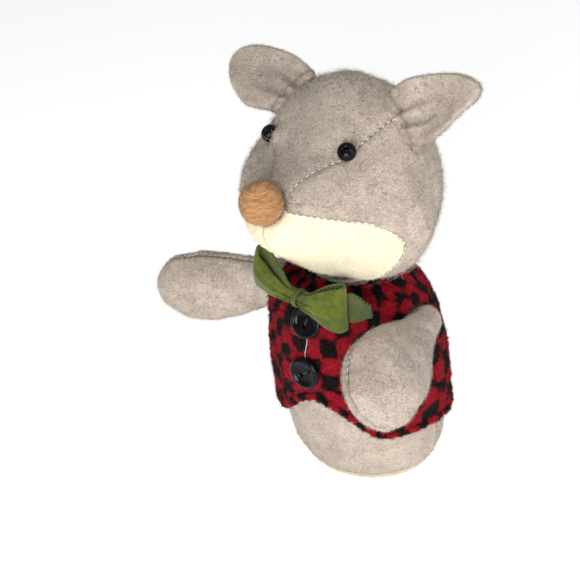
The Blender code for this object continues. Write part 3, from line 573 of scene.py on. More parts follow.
def green_look(name, net=False):
    """Thin brushed green felt; the netted side shows a fine weave."""
    look = Look(name, roughness=0.85, sheen=0.25, specular=0.15)
    soft = look.noise(look.place, 220.0, 3.0, 0.6)
    hair = look.noise(look.stretched((350.0, 900.0, 2300.0), (0.1, 0.5, 0.2)), 1.0, 2.0)
    if net:
        tone = look.mix(look.band(soft, 0.3, 0.7), (0.018, 0.030, 0.004), (0.050, 0.072, 0.010))
        split = look.node("ShaderNodeSeparateXYZ", {0: look.uv()})
        threads = []
        for operation in ("ADD", "SUBTRACT"):
            slant = look.maths(operation, split.outputs[0], split.outputs[1])
            threads.append(look.maths("SINE", look.maths("MULTIPLY", slant, 5.2)))
        mesh = look.band(look.maths("MAXIMUM", *threads), 0.75, 0.97)
        tone = look.mix(look.maths("MULTIPLY", mesh, 0.75), tone, (0.20, 0.25, 0.05))
        look.colour(tone)
        look.bump(mesh, 0.8, 0.3)
        return look.material
    tone = look.mix(look.band(soft, 0.3, 0.7), (0.055, 0.078, 0.007), (0.100, 0.130, 0.015))
    tone = look.mix(look.maths("MULTIPLY", look.band(hair, 0.58, 0.7), 0.5), tone, (0.035, 0.05, 0.006))
    tone = look.mix(look.maths("MULTIPLY", look.band(hair, 0.42, 0.3), 0.35), tone, (0.17, 0.21, 0.03))
    look.colour(look.mix(look.shade(), tone, (0.02, 0.035, 0.004)))
    look.bump(look.maths("ADD", hair, look.noise(look.place, 1600.0, 3.0, 0.7)), 0.45, 0.3)
    return look.material


def nose_look(name):
    """Tan wool felted into a hard ball, its fibres wound level round it."""
    look = Look(name, roughness=0.88, sheen=0.15, specular=0.15)
    bend = look.noise(look.place, 160.0, 2.0)
    wavy = look.node("ShaderNodeVectorMath", {0: look.place, 1: (0.0, 0.0, 0.0)})
    lift = look.node("ShaderNodeCombineXYZ", {2: look.maths("MULTIPLY", bend, 0.0022)})
    look.tree.links.new(lift.outputs[0], wavy.inputs[1])
    hair = look.noise(look.stretched((190.0, 190.0, 2600.0), source=wavy.outputs[0]), 1.0, 3.0, 0.6)
    fine = look.noise(look.stretched((420.0, 420.0, 5200.0), source=wavy.outputs[0]), 1.0, 2.0, 0.5)
    tone = look.mix(look.band(hair, 0.35, 0.65), (0.30, 0.145, 0.058), (0.52, 0.290, 0.130))
    tone = look.mix(look.maths("MULTIPLY", look.band(fine, 0.58, 0.68), 0.5), tone, (0.20, 0.095, 0.04))
    patchy = look.band(look.noise(look.place, 240.0, 2.0), 0.5, 0.7)
    tone = look.mix(look.maths("MULTIPLY", patchy, 0.35), tone, (0.60, 0.36, 0.18))
    look.colour(tone)
    look.bump(look.maths("ADD", hair, fine), 0.5, 0.3)
    return look.material


def gloss_look(name, colour):
    """Polished black plastic with faint rubbing."""
    look = Look(name, roughness=0.1, specular=0.14)
    rub = look.noise(look.place, 420.0, 4.0, 0.6)
    look.colour(look.mix(look.band(rub, 0.4, 0.75), colour, tuple(c * 2.2 for c in colour)))
    rough = look.maths("MULTIPLY_ADD", look.band(rub, 0.45, 0.8), 0.10)
    rough.node.inputs[2].default_value = 0.08
    look.tree.links.new(rough, look.shader.inputs["Roughness"])
    look.bump(look.noise(look.place, 900.0, 2.0), 0.03, 0.1)
    return look.material


def thread_look(name, pale, dark):
    """Spun thread: two plies twisted round each other."""
    look = Look(name, roughness=0.6, sheen=0.1, specular=0.35)
    ply = look.node(
        "ShaderNodeTexWave", {"Vector": look.place, "Scale": 900.0, "Distortion": 2.0, "Detail": 1.0},
        bands_direction="DIAGONAL",
    ).outputs["Fac"]
    fluff = look.noise(look.place, 2600.0, 2.0)
    look.colour(look.mix(look.maths("MULTIPLY", look.maths("ADD", ply, fluff), 0.5), dark, pale))
    look.bump(ply, 0.5, 0.1)
    return look.material


def card_look(name):
    """Rolled brown card with a spiral seam."""
    look = Look(name, roughness=0.85, specular=0.2)
    fibre = look.noise(look.stretched((600.0, 600.0, 180.0)), 1.0, 4.0, 0.7)
    look.colour(look.mix(look.band(fibre, 0.3, 0.7), (0.32, 0.21, 0.12), (0.52, 0.39, 0.25)))
    look.bump(fibre, 0.3, 0.1)
    return look.material


def plain_fibre(name, colour):
    """One dye of loose fibre, too thin to carry a pattern."""
    look = Look(name, roughness=0.85, sheen=0.05, specular=0.1)
    look.shader.inputs["Base Color"].default_value = (*colour, 1.0)
    for node in [n for n in look.tree.nodes if n.type == "TEX_COORD"]:
        look.tree.nodes.remove(node)
    return look.material


GREY = felt_look("grey_felt", (0.58, 0.492, 0.420), (0.330, 0.276, 0.230), (0.045, 0.036, 0.032), 0.9, 0.42)
CREAM = felt_look("cream_felt", (0.82, 0.75, 0.57), (0.70, 0.62, 0.45), (0.42, 0.34, 0.20), 0.35, 0.35, 0.2)
HEM = felt_look("hem_felt_dye", (0.66, 0.60, 0.47), (0.50, 0.44, 0.34), (0.12, 0.10, 0.08), 0.8, 0.4)
PLAID = plaid_look("plaid_cloth")
GREEN = green_look("green_felt")
GREEN_NET = green_look("green_net", net=True)
TAN = nose_look("tan_felt")
BLACK = gloss_look("black_gloss", (0.003, 0.003, 0.004))
PALE_THREAD = thread_look("pale_thread", (0.90, 0.88, 0.82), (0.66, 0.62, 0.56))
BLACK_THREAD = thread_look("black_thread", (0.035, 0.033, 0.036), (0.008, 0.008, 0.009))
CARD = card_look("rolled_card")
WOOL = [
    plain_fibre("wool_white", (0.72, 0.66, 0.58)),
    plain_fibre("wool_pale", (0.58, 0.50, 0.42)),
    plain_fibre("wool_mid", (0.34, 0.285, 0.235)),
    plain_fibre("wool_soft", (0.46, 0.39, 0.33)),
    plain_fibre("wool_dark", (0.16, 0.13, 0.11)),
]
CREAM_WOOL = [plain_fibre("cream_pale", (0.93, 0.87, 0.70)), plain_fibre("cream_mid", (0.80, 0.71, 0.50))]
RED_WOOL = [plain_fibre("red_bright", (0.50, 0.010, 0.028)), plain_fibre("red_deep", (0.20, 0.003, 0.010))]
BLACK_WOOL = [
    plain_fibre("black_soft", (0.010, 0.006, 0.007)),
    plain_fibre("black_deep", (0.003, 0.002, 0.003)),
]
GREEN_WOOL = [plain_fibre("green_pale", (0.20, 0.27, 0.04)), plain_fibre("green_deep", (0.07, 0.11, 0.012))]
TAN_WOOL = [plain_fibre("tan_pale", (0.56, 0.33, 0.16)), plain_fibre("tan_deep", (0.24, 0.12, 0.05))]


# ---------------------------------------------------------------- body

def body_point(azimuth, share, grow=0.0):
    """A point of the body's skin, grown outwards; azimuth 0 is the centre front."""
    azimuth, share, grow = np.broadcast_arrays(azimuth, share, grow)
    found = spline(BODY_PROFILE, share)
    width = found[..., 0]
    height = found[..., 1]
    grow = grow - ARM_DENT * np.exp(-((azimuth - 58.0) / 32.0) ** 2 - ((height - 64.0) / 17.0) ** 2)
    step = spline(BODY_PROFILE, share + 0.01) - spline(BODY_PROFILE, share - 0.01)
    out = unit(np.stack([step[..., 1], -step[..., 0]], -1))
    flat = smooth(0.0, 0.16, share)
    depth = width * (BODY_DEPTH_RATIO + (1.0 - BODY_DEPTH_RATIO) * smooth(0.72, 1.0, share))
    a = np.radians(azimuth)
    x = (width + grow * out[..., 0]) * np.sin(a)
    y = BODY_Y - (depth + grow * out[..., 0]) * np.cos(a)
    return np.stack([x, y, height + grow * out[..., 1] * flat], -1)


HEIGHT_SHARES = np.linspace(0.0, 1.0, 2001)
HEIGHTS = spline(BODY_PROFILE, HEIGHT_SHARES)[:, 1]


def share_at(height):
    return np.interp(height, HEIGHTS, HEIGHT_SHARES)


def seam_roll(distance, depth=0.9, width=0.55, puff=0.3):
    """How far cloth stands proud this far from a seam: it dips into the stitching and swells beside it."""
    return -depth * np.exp(-distance / width) + puff * np.exp(-((distance - 2.2) / 1.5) ** 2)


def build_body():
    made = []
    for name, first, node in (("front", -90.0, "body_front_panel"), ("back", 90.0, "body_back_panel")):
        azimuth = np.linspace(first + 0.2, first + 179.8, 150)[:, None]
        share = np.concatenate([[0.0, 0.006], np.linspace(0.016, 1.0, 118)])[None, :]
        edge = np.minimum(azimuth - first, first + 180.0 - azimuth) * MM_PER_DEGREE
        base = body_point(azimuth, share)
        lumps = 0.35 * ripple(base, 17.0, 5) + 0.12 * ripple(base, 6.0, 6)
        ridge = 1.0 * np.exp(-((edge - 0.75) / 0.75) ** 2) - 0.75 * np.exp(-edge / 0.28)
        pinch = 0.22 * np.sin(base[..., 2] * 2 * math.pi / 2.6) * np.exp(-((edge - 1.1) / 0.8) ** 2)
        low = smooth(0.0, 0.05, share)
        grow = (lumps - 0.1 + ridge + pinch) * low
        outer = body_point(azimuth, share, grow)
        inner = body_point(azimuth, share, -FELT)
        shade = 0.45 * np.exp(-edge / 0.35) + 0 * share
        panel = shell(f"body_{name}_felt", outer, inner, GREY, shade=shade)
        for hand in MARK:
            cut(panel, shoulder(hand), BODY_ARMHOLE)
        settle(panel, "body", [node])
        made.append(panel)
    stitches = []
    for side in (-90.0, 90.0):
        for height in np.arange(4.5, 76.0, 2.5):
            low, high = [body_point(side + 2.6, share_at(height + rise), 0.66) for rise in (0.0, 1.3)]
            out = unit(low - vec((0, BODY_Y, low[2])))
            stitches.append([low, (low + high) / 2 + out * 0.12, high])
    sewn = tubes("body_side_stitches", stitches, 0.16, PALE_THREAD)
    settle(sewn, "body", ())

    u = turns(180)
    section = [
        (-2.8, 0.5), (-2.3, 0.0), (-0.5, 0.0), (0.35, 0.35), (0.75, 1.1), (0.6, 1.9), (0.0, 2.35),
        (-1.4, 2.4), (-2.8, 2.2),
    ]
    grow = vec(section)[:, 0]
    rise = vec(section)[:, 1]
    width = HEM_RADIUS + grow
    depth = HEM_RADIUS * BODY_DEPTH_RATIO + grow
    wave = 0.12 * np.sin(u * 36)[:, None] * (rise > 0.2)
    points = np.stack([
        (width + wave) * np.sin(u)[:, None],
        BODY_Y - (depth + wave) * np.cos(u)[:, None],
        np.broadcast_to(rise, (180, len(section))),
    ], -1)
    hem = tidy_mesh(put("hem_felt", points, [grid_faces(180, len(section), True, True)], HEM))
    settle(hem, "body", ["hem_binding"])
    return made


def hem_height(azimuth):
    back, side, front = VEST_HEM
    peak = 0.5 + 0.5 * np.cos(np.radians(np.minimum(np.abs(azimuth - 4.0) * 4.1, 180.0)))
    turned = np.minimum(azimuth % 360.0, 360.0 - azimuth % 360.0)
    level = side - (side - back) * smooth(70.0, 120.0, turned)
    return level + (front - side) * peak


def vest_lift(azimuth):
    return VEST_GAP + VEST_LAP * (1.0 - smooth(VEST_UNDER_EDGE + 3.0, VEST_UNDER_EDGE + 22.0, azimuth))


def cloth_place(azimuth, points):
    """Where a point lies on the flat cloth: round the body and up it."""
    height = points[..., 2]
    return np.stack([np.radians(azimuth) * GIRTH_RADIUS + 0 * height, height + 0 * azimuth], -1)


def check_at(points):
    azimuth = np.arctan2(points[..., 0], BODY_Y - points[..., 1])
    across = azimuth * GIRTH_RADIUS + 1.5 * ripple(points, 16.0, 301) + 0.5 * ripple(points, 5.0, 302)
    rise = points[..., 2] + 1.5 * ripple(points, 16.0, 303) + 0.5 * ripple(points, 5.0, 304)
    squares = np.sin(across * math.pi / CHECK_PITCH) * np.sin(rise * math.pi / CHECK_PITCH)
    return squares + 0.2 * ripple(points, 4.0, 305)


def yarn(path, radius, check, name, seed):
    """A thick turned edge, lumpy and slightly twisted, along a path."""
    rng = np.random.default_rng(seed)
    count = len(path)
    ahead = unit(np.gradient(path, axis=0))
    out = unit(path * vec((1, 1, 0)) - vec((0, BODY_Y, 0)) + vec((0, 0, 1e-3)))
    side = unit(np.cross(ahead, out))
    up = np.cross(side, ahead)
    sides = 12
    a = turns(sides)
    length = path_length(path)
    twist = length[:, None] * 0.9
    lump = 1.0 + 0.16 * np.sin(2 * (a[None, :] + twist)) + 0.10 * ripple(path, 3.0, seed)[:, None]
    lump = lump * (1 + 0.07 * rng.standard_normal((count, sides)))
    size = radius * lump
    size[0] *= 0.5
    size[-1] *= 0.5
    ring = side[:, None] * np.cos(a)[None, :, None] + up[:, None] * np.sin(a)[None, :, None]
    points = path[:, None] + ring * size[..., None]
    ends = np.stack([path[0] - ahead[0] * radius * 0.4, path[-1] + ahead[-1] * radius * 0.4])
    faces = [grid_faces(count, sides, False, True)]
    low = np.arange(sides)
    high = low + (count - 1) * sides
    last = count * sides
    faces.append(np.stack([np.roll(low, -1), low, np.full(sides, last)], -1))
    faces.append(np.stack([high, np.roll(high, -1), np.full(sides, last + 1)], -1))
    place = length[:, None] + 1.2 * a[None, :] / math.pi
    uv = np.stack([place, 0 * place + radius * a[None, :]], -1).reshape(-1, 2)
    uv = np.concatenate([uv, uv[:1], uv[-1:]])
    tone = check
    if check is None:
        tone = np.sin(place * math.pi / ROLL_LUMP + seed) + 0.35 * ripple(points, 4.0, seed)
    tone = (tone + 0 * place).ravel()
    tone = np.concatenate([tone, tone[:1], tone[-1:]])
    obj = put(name, np.concatenate([points.reshape(-1, 3), ends]), faces, PLAID, uv=uv, check=tone)
    return tidy_mesh(obj, 1e-9)


def build_vest():
    made = []
    panels = (
        ("back", "vest_back", 90.3, 269.7, 190, lambda a: VEST_GAP + 0 * a),
        ("left_front", "vest_left_front", VEST_LAP_EDGE, 89.7, 150, vest_lift),
        ("right_front", "vest_right_front", -89.7, VEST_UNDER_EDGE, 120, lambda a: VEST_GAP + 0 * a),
    )
    holes = [shoulder(hand) for hand in MARK]
    for name, node, first, last, count, lift in panels:
        azimuth = np.linspace(first, last, count)[:, None]
        low = share_at(hem_height(azimuth))
        share = low + (VEST_COLLAR - low) * np.linspace(0.0, 1.0, 130)[None, :]
        base = body_point(azimuth, share)
        lumps = 0.25 * ripple(base, 11.0, 21) + 0.30 * ripple(base, 3.2, 22) + 0.20 * ripple(base, 1.6, 23)
        nearest = np.minimum(np.abs(azimuth - 90.0), np.abs(azimuth + 90.0))
        side_seam = 0.5 * np.exp(-(nearest * MM_PER_DEGREE / 0.5))
        side_seam = side_seam + 0.5 * np.exp(-np.abs(azimuth - 270.0) * MM_PER_DEGREE / 0.5)
        outer = body_point(azimuth, share, lift(azimuth) + VEST_CLOTH + lumps - side_seam * 1.6)
        inner = body_point(azimuth, share, lift(azimuth))
        place = cloth_place(azimuth, outer)
        near = np.full(base.shape[:2], 99.0)
        for hole in holes:
            near = np.minimum(near, np.linalg.norm(outer - hole, axis=-1) - ARMHOLE[1 if hole[0] > 0 else -1])
        shade = 0.35 * np.exp(-np.maximum(near, 0.0) / 1.2)
        panel = shell(
            f"vest_{name}_cloth", outer, inner, PLAID, uv=place, shade=shade, check=check_at(base),
        )
        for hole in holes:
            cut(panel, hole, ARMHOLE[1 if hole[0] > 0 else -1])
        settle(panel, "body", [node])
        made.append(panel)

    runs = []
    a = np.linspace(-89.0, VEST_UNDER_EDGE, 150)
    runs.append(("right_hem", a, share_at(hem_height(a)), VEST_GAP))
    a = np.linspace(VEST_LAP_EDGE, 90.0, 170)
    runs.append(("left_hem", a, share_at(hem_height(a)), vest_lift(a)))
    a = np.linspace(90.0, 271.0, 240)
    runs.append(("back_hem", a, share_at(hem_height(a)), VEST_GAP))
    share = np.linspace(float(share_at(hem_height(VEST_LAP_EDGE))), VEST_COLLAR, 120)
    runs.append(("lap_edge", np.full(120, VEST_LAP_EDGE), share, float(vest_lift(VEST_LAP_EDGE))))
    a = np.linspace(VEST_LAP_EDGE, 100.0, 140)
    runs.append(("left_collar", a, np.full(140, VEST_COLLAR), vest_lift(a)))
    a = np.linspace(100.0, 340.0, 200)
    runs.append(("back_collar", a, np.full(200, VEST_COLLAR), VEST_GAP))
    for number, (name, azimuth, share, lift) in enumerate(runs):
        path = body_point(azimuth, share, lift + VEST_CLOTH * 0.6)
        radius = ROLL_RADIUS[name.split("_")[1]]
        # The lap edge's roll is drawn all black (check 1.0): painted shade for the shadow line along the
        # overlap, laid on a real rolled edge.
        check = 1.0 if name == "lap_edge" else None
        rope = yarn(path, radius, check, f"vest_{name}_roll", 40 + number)
        settle(rope, "body", ())
        made.append(rope)
    return made


def armhole_path(hand, radius):
    """The ring where the vest's cloth meets a ball round the shoulder."""
    centre = shoulder(hand)
    out = vec((hand, 0.0, 0.0))
    points = []
    for a in turns(120):
        spoke = vec((0.0, math.cos(a), math.sin(a)))
        best = None
        for b in np.linspace(-1.45, 1.45, 120):
            spot = centre + radius * (spoke * math.cos(b) + out * math.sin(b))
            turn = math.degrees(math.atan2(spot[0], -(spot[1] - BODY_Y)))
            share = share_at(spot[2])
            lift = float(vest_lift(turn)) if -20 < turn < 90 else VEST_GAP
            wall = body_point(turn, share, lift + VEST_CLOTH * 0.6)
            miss = math.hypot(spot[0], spot[1] - BODY_Y) - math.hypot(wall[0], wall[1] - BODY_Y)
            if best is None or abs(miss) < best[0]:
                best = (abs(miss), spot)
        points.append(best[1])
    points = vec(points)
    for _ in range(6):
        points = (np.roll(points, 1, 0) + points * 2 + np.roll(points, -1, 0)) / 4
    return points


def build_armholes():
    made = []
    for hand, mark in MARK.items():
        ring = armhole_path(hand, ARMHOLE[hand] + 1.5)
        path = np.concatenate([ring, ring[:1]])
        rope = yarn(path, ROLL_RADIUS["armhole"], None, f"vest_{mark}_armhole_roll", 60 + hand)
        settle(rope, "body", ())
        made.append(rope)
    return made


def build_buttons():
    spots = []
    turns = {"upper": 74.0, "lower": 38.0}
    for name, (height, azimuth) in BUTTONS.items():
        share = share_at(height)
        lift = VEST_GAP + VEST_LAP + 1.5
        seat = body_point(azimuth, share, lift)
        across = body_point(azimuth + 4.0, share, lift) - body_point(azimuth - 4.0, share, lift)
        rise = body_point(azimuth, share + 0.03, lift) - body_point(azimuth, share - 0.03, lift)
        out = unit(np.cross(across, rise))
        side = unit(across)
        up = np.cross(out, side)
        start = seat + out * 0.75
        r = BUTTON_RADIUS
        profile = [
            (0.0, 0.0), (3.6, 0.0), (4.6, 0.12), (5.4, 0.45), (6.0, 0.95), (r, 1.45), (r, 1.75), (6.15, 2.1),
            (5.85, 2.42), (5.45, 2.6), (5.1, 2.62), (4.8, 2.5), (4.55, 2.28), (4.2, 2.0), (3.5, 1.72),
            (2.4, 1.5), (1.2, 1.4), (0.0, 1.37),
        ]
        button = lathe(f"button_{name}_disc", start, side, up, out, profile, BLACK, 96)
        a = math.radians(turns[name])
        way = side * math.cos(a) + up * math.sin(a)
        for hand in (-1, 1):
            spot = start + way * hand * HOLE_OFFSET + out
            bore(button, spot, out, 0.85, 6.0)
        settle(button, "body", [f"button_{name}"])
        paths = []
        for shift in (-0.22, 0.22):
            nudge = np.cross(out, way) * shift
            arc = []
            for t in np.linspace(-1.0, 1.0, 15):
                arch = math.sqrt(max(1.0 - t**4, 0.0))
                arc.append(start + nudge + way * t * HOLE_OFFSET + out * (0.1 + 1.4 * arch))
            paths.append(arc)
        thread = tubes(f"button_{name}_sewing", paths, 0.2, BLACK_THREAD, 8)
        settle(thread, "body", [f"button_{name}_thread"])
        spots.append((start, up, out))
    (top, up_top, out_top), (low, up_low, out_low) = spots
    first = top - up_top * 4.9 - out_top * 0.35
    last = low + up_low * 4.9 - out_low * 0.35
    side = unit(np.cross(up_top, out_top))
    path = [
        first + (last - first) * s + out_top * 0.9 * math.sin(math.pi * s) + side * 0.5 * math.sin(5.0 * s)
        for s in np.linspace(0.0, 1.0, 25)
    ]
    link = tubes("button_link_strand", [path], 0.1, PALE_THREAD, 8)
    settle(link, "body", ["button_link_thread"])


# ---------------------------------------------------------------- arms

def ball_directions(rows, cols):
    """Directions all over a ball, in rings from the top down."""
    around = turns(rows)[:, None]
    down = np.linspace(0.0, math.pi, cols)[None, :]
    level = np.sin(down)
    return np.stack([level * np.sin(around), -level * np.cos(around), np.cos(down) + 0 * around], -1)


def frame_of(forward):
    forward = unit(forward)
    side = unit(np.cross(forward, vec((0.0, 0.0, 1.0))))
    return forward, side, np.cross(side, forward)


def arm_axes(yaw, pitch, twist):
    a, b, c = np.radians((yaw, pitch, twist))
    forward = vec((math.sin(a) * math.cos(b), -math.cos(a) * math.cos(b), math.sin(b)))
    forward, side, up = frame_of(forward)
    broad = up * math.cos(c) + side * math.sin(c)
    return forward, broad, np.cross(broad, forward)


def build_arm(hand):
    mark = MARK[hand]
    pivot = shoulder(hand)
    forward, broad, flat = arm_axes(*ARM_POSE[hand])
    if flat[0] * hand < 0:
        flat = -flat
    body = f"arm_{mark}"
    made = []

    def section(place, inset):
        root = np.sqrt(np.maximum((ROOT_RADIUS - inset) ** 2 - np.minimum(place, 0.0) ** 2, 0.0))
        reach = place * ARM_LENGTH / (ARM_LENGTH - inset)
        both = along(ARM_PROFILE, np.clip(reach, 0.0, ARM_LENGTH))
        tip = smooth(ARM_LENGTH, ARM_LENGTH - 7.0, reach)
        wide = np.maximum(both[..., 0] - inset * tip, 0.0)
        thick = np.maximum(both[..., 1] - inset * tip, 0.0)
        share = ROOT_SHARE[hand] + (1.0 - ROOT_SHARE[hand]) * np.clip(place / 27.0, 0.0, 1.0)
        return np.where(place < 0, root, wide) * share, np.where(place < 0, root, thick) * share

    def surface(u, place, inset, grow=0.0):
        wide, thick = section(place, inset)
        fade = smooth(ARM_LENGTH, ARM_LENGTH - 5.0, place)
        wide = wide + grow * fade
        thick = thick + grow * fade
        ring = broad * (wide * np.cos(u))[..., None] + flat * (thick * np.sin(u))[..., None]
        return pivot + forward * np.asarray(place)[..., None] + ring

    share = np.linspace(0.0, 1.0, 150)
    place = -6.0 + (ARM_LENGTH + 6.0) * (1.0 - (1.0 - share) ** 1.35)
    for name, first in (("outer", 0.0), ("inner", math.pi)):
        u = first + math.pi * (0.5 - 0.5 * np.cos(np.linspace(0.03, math.pi - 0.03, 84)) / math.cos(0.03))
        u_grid, place_grid = np.meshgrid(u, place, indexing="ij")
        base = surface(u_grid, place_grid, 0.0)
        thick = section(place_grid, 0.0)[1]
        edge = np.minimum(u_grid - first, first + math.pi - u_grid) * np.maximum(thick, 1.0)
        lumps = 0.45 * ripple(base, 15.0, 70 + hand) + 0.16 * ripple(base, 5.0, 71)
        pucker = 0.22 * np.sin(place_grid * 2 * math.pi / 2.5) * np.exp(-((edge - 1.3) / 0.9) ** 2)
        crease = -1.1 * np.exp(-((place_grid - 9.0 - 3.0 * np.sin(2 * u_grid)) / 2.0) ** 2)
        crease = crease - 0.7 * np.exp(-((place_grid - 16.5 + 2.0 * np.cos(3 * u_grid)) / 1.7) ** 2)
        still = smooth(-1.0, 9.0, place_grid)
        grow = (lumps + pucker) * still + seam_roll(edge, 0.85, 0.45, 0.35) + crease * 0.5 * still
        outer = surface(u_grid, place_grid, 0.0, grow - 0.1)
        inner = surface(u_grid, np.minimum(place_grid, ARM_LENGTH - FELT), FELT)
        panel = shell(f"arm_{mark}_{name}_felt", outer, inner, GREY, shade=0.5 * np.exp(-edge / 0.5))
        settle(panel, body, [f"arm_{mark}_{name}_panel"])
        made.append(panel)
    stitches = []
    for u in (0.0, math.pi):
        for start in np.arange(3.0, 52.5, 2.5):
            ends = []
            for step in (0.0, 0.65, 1.3):
                spot = np.array(start + step)
                ends.append(surface(np.array(u + 0.02), spot, 0.0, -0.45 + 0.3 * (step == 0.65)))
            stitches.append(ends)
    sewn = tubes(f"arm_{mark}_stitches", stitches, 0.2, PALE_THREAD, 8)
    settle(sewn, body, ())

    around, rings = 60, 40
    u_grid, share_grid = np.meshgrid(turns(around), np.linspace(0.0, 1.0, rings), indexing="ij")
    place_grid = PAW_START + (ARM_LENGTH - FELT - 0.8 - PAW_START) * share_grid
    fill = surface(u_grid, place_grid, FELT + 0.8)
    out = unit(fill - pivot - forward * place_grid[..., None])
    fill = fill - 0.35 * (1 + ripple(fill, 6.0, 77))[..., None] * out
    closing = pivot + forward * PAW_START
    points = np.concatenate([fill.reshape(-1, 3), closing[None]])
    ring = np.arange(around) * rings
    end = np.stack([ring, np.roll(ring, -1), np.full(around, around * rings)], -1)
    faces = [grid_faces(around, rings, True), end]
    stuffing = tidy_mesh(put(f"paw_{mark}_fill", points, faces, FILLING))
    settle(stuffing, body, [f"paw_{mark}_stuffing"])

    turn = turns(120)[:, None]
    lean = np.radians(np.linspace(112.0, 138.0, 14))[None, :]
    out = broad * np.cos(turn)[..., None] + flat * np.sin(turn)[..., None]
    way = forward * np.cos(lean)[..., None] + out * np.sin(lean)[..., None]
    wave = 0.1 * np.sin(turn * 30)[..., None]
    cup = shell(
        f"shoulder_{mark}_edge", pivot + way * (ROOT_RADIUS * ROOT_SHARE[hand] + 0.8 + wave * 0.5),
        pivot + way * (ROOT_RADIUS * ROOT_SHARE[hand] + 0.1),
        GREY, wrap=True, shade=np.full((120, 14), 0.1),
    )
    settle(cup, f"shoulder_{mark}", [f"shoulder_{mark}_seam_edge"])
    return made


# ---------------------------------------------------------------- head and neck

def head_field(points):
    total = 0.0
    for centre, size in HEAD_BLOBS:
        reach = np.linalg.norm((points - vec(centre)) / vec(size), axis=-1)
        total = total + np.exp(-(reach - 1.0) * min(size) / BLEND)
    union = -BLEND * np.log(total)
    dome = DOME_RADIUS - np.linalg.norm(points - DOME_CENTRE, axis=-1)
    seat = NOSE_RADIUS + 0.9 - np.linalg.norm(points - NOSE_CENTRE, axis=-1)
    hollowed = 2.0 * np.log(np.exp(union / 2.0) + np.exp(dome / 2.0))
    return 0.8 * np.log(np.exp(hollowed / 0.8) + np.exp(seat / 0.8))


def head_normal(points):
    step = 0.05
    return unit(np.stack([head_field(points + d) - head_field(points - d) for d in np.eye(3) * step], -1))


def head_surface(directions):
    near = np.zeros(directions.shape[:-1])
    far = np.full(directions.shape[:-1], 75.0)
    for _ in range(24):
        middle = (near + far) / 2
        inside = head_field(HEAD_CENTRE + directions * middle[..., None]) < 0
        near = np.where(inside, middle, near)
        far = np.where(inside, far, middle)
    return HEAD_CENTRE + directions * near[..., None]


def side_points(pitch, out):
    pitch, out = np.broadcast_arrays(pitch, out)
    level = np.cos(out)
    return head_surface(np.stack([np.sin(out), -level * np.cos(pitch), level * np.sin(pitch)], -1))


def edge_angle(pitch, limit):
    near = np.full(pitch.shape, -0.02)
    far = np.full(pitch.shape, math.pi / 2)
    for _ in range(24):
        middle = (near + far) / 2
        found = side_points(pitch, middle)
        reach = np.hypot(found[..., 0], found[..., 1] - HEAD_CENTRE[1])
        clear = (found[..., 0] >= limit) & ((reach >= NECK_HOLE) | (found[..., 2] > HEAD_CENTRE[2] - 10.0))
        near = np.where(clear, near, middle)
        far = np.where(clear, middle, far)
    return far


def path_length(points):
    """How far along a path each of its points lies."""
    return np.concatenate([[0.0], np.cumsum(np.linalg.norm(np.diff(points, axis=0), axis=1))])


def row_length(points):
    """How far along its row each point lies."""
    steps = np.linalg.norm(np.diff(points, axis=1), axis=-1)
    return np.concatenate([np.zeros((len(points), 1)), np.cumsum(steps, axis=1)], axis=1)


def skin(name, points, edge, look, hand, wrap, node, seed, deep=0.32):
    """A stretched felt skin over the stuffing: soft lumps, and edges rolled under at the seams."""
    normals = head_normal(points)
    lumps = 0.38 * ripple(points, 19.0, seed) + 0.15 * ripple(points, 7.0, seed + 1)
    fade = smooth(0.0, 4.0, edge)
    length = np.cumsum(np.linalg.norm(np.diff(points[:, 0], axis=0, prepend=points[:1, 0]), axis=-1))[:, None]
    pucker = 0.18 * np.sin(length * 2 * math.pi / 2.5) * np.exp(-((edge - 1.3) / 0.9) ** 2)
    grow = lumps * fade + pucker + seam_roll(edge, deep, 0.4, 0.2) - 0.05
    flip = vec((hand, 1.0, 1.0))
    for side, sink, spread in ((1, 0.7, 18.0), (-1, FAR_EYE_SINK + 1.0, 13.0)):
        eye, out = surface_at(EYE_X[side] * side, EYE_Z)
        grow = grow - sink * np.exp(-np.sum((points * flip - eye) ** 2, axis=-1) / spread)
        if side < 0:
            bridge = vec((1.0, -0.5, 0.4))
            rim = eye + unit(bridge - out * (bridge @ out)) * 5.2
            grow = grow + 2.2 * np.exp(-np.sum((points * flip - rim) ** 2, axis=-1) / 14.0)
    outer = (points + normals * grow[..., None]) * flip
    inner = (points - normals * FELT) * flip
    shade = 0.10 * np.exp(-edge / 0.35) + 0.16 * np.maximum(normals[..., 2], 0.0) ** 2
    made = shell(name, outer, inner, look, wrap=wrap, shade=shade)
    return settle(made, "head", [node])


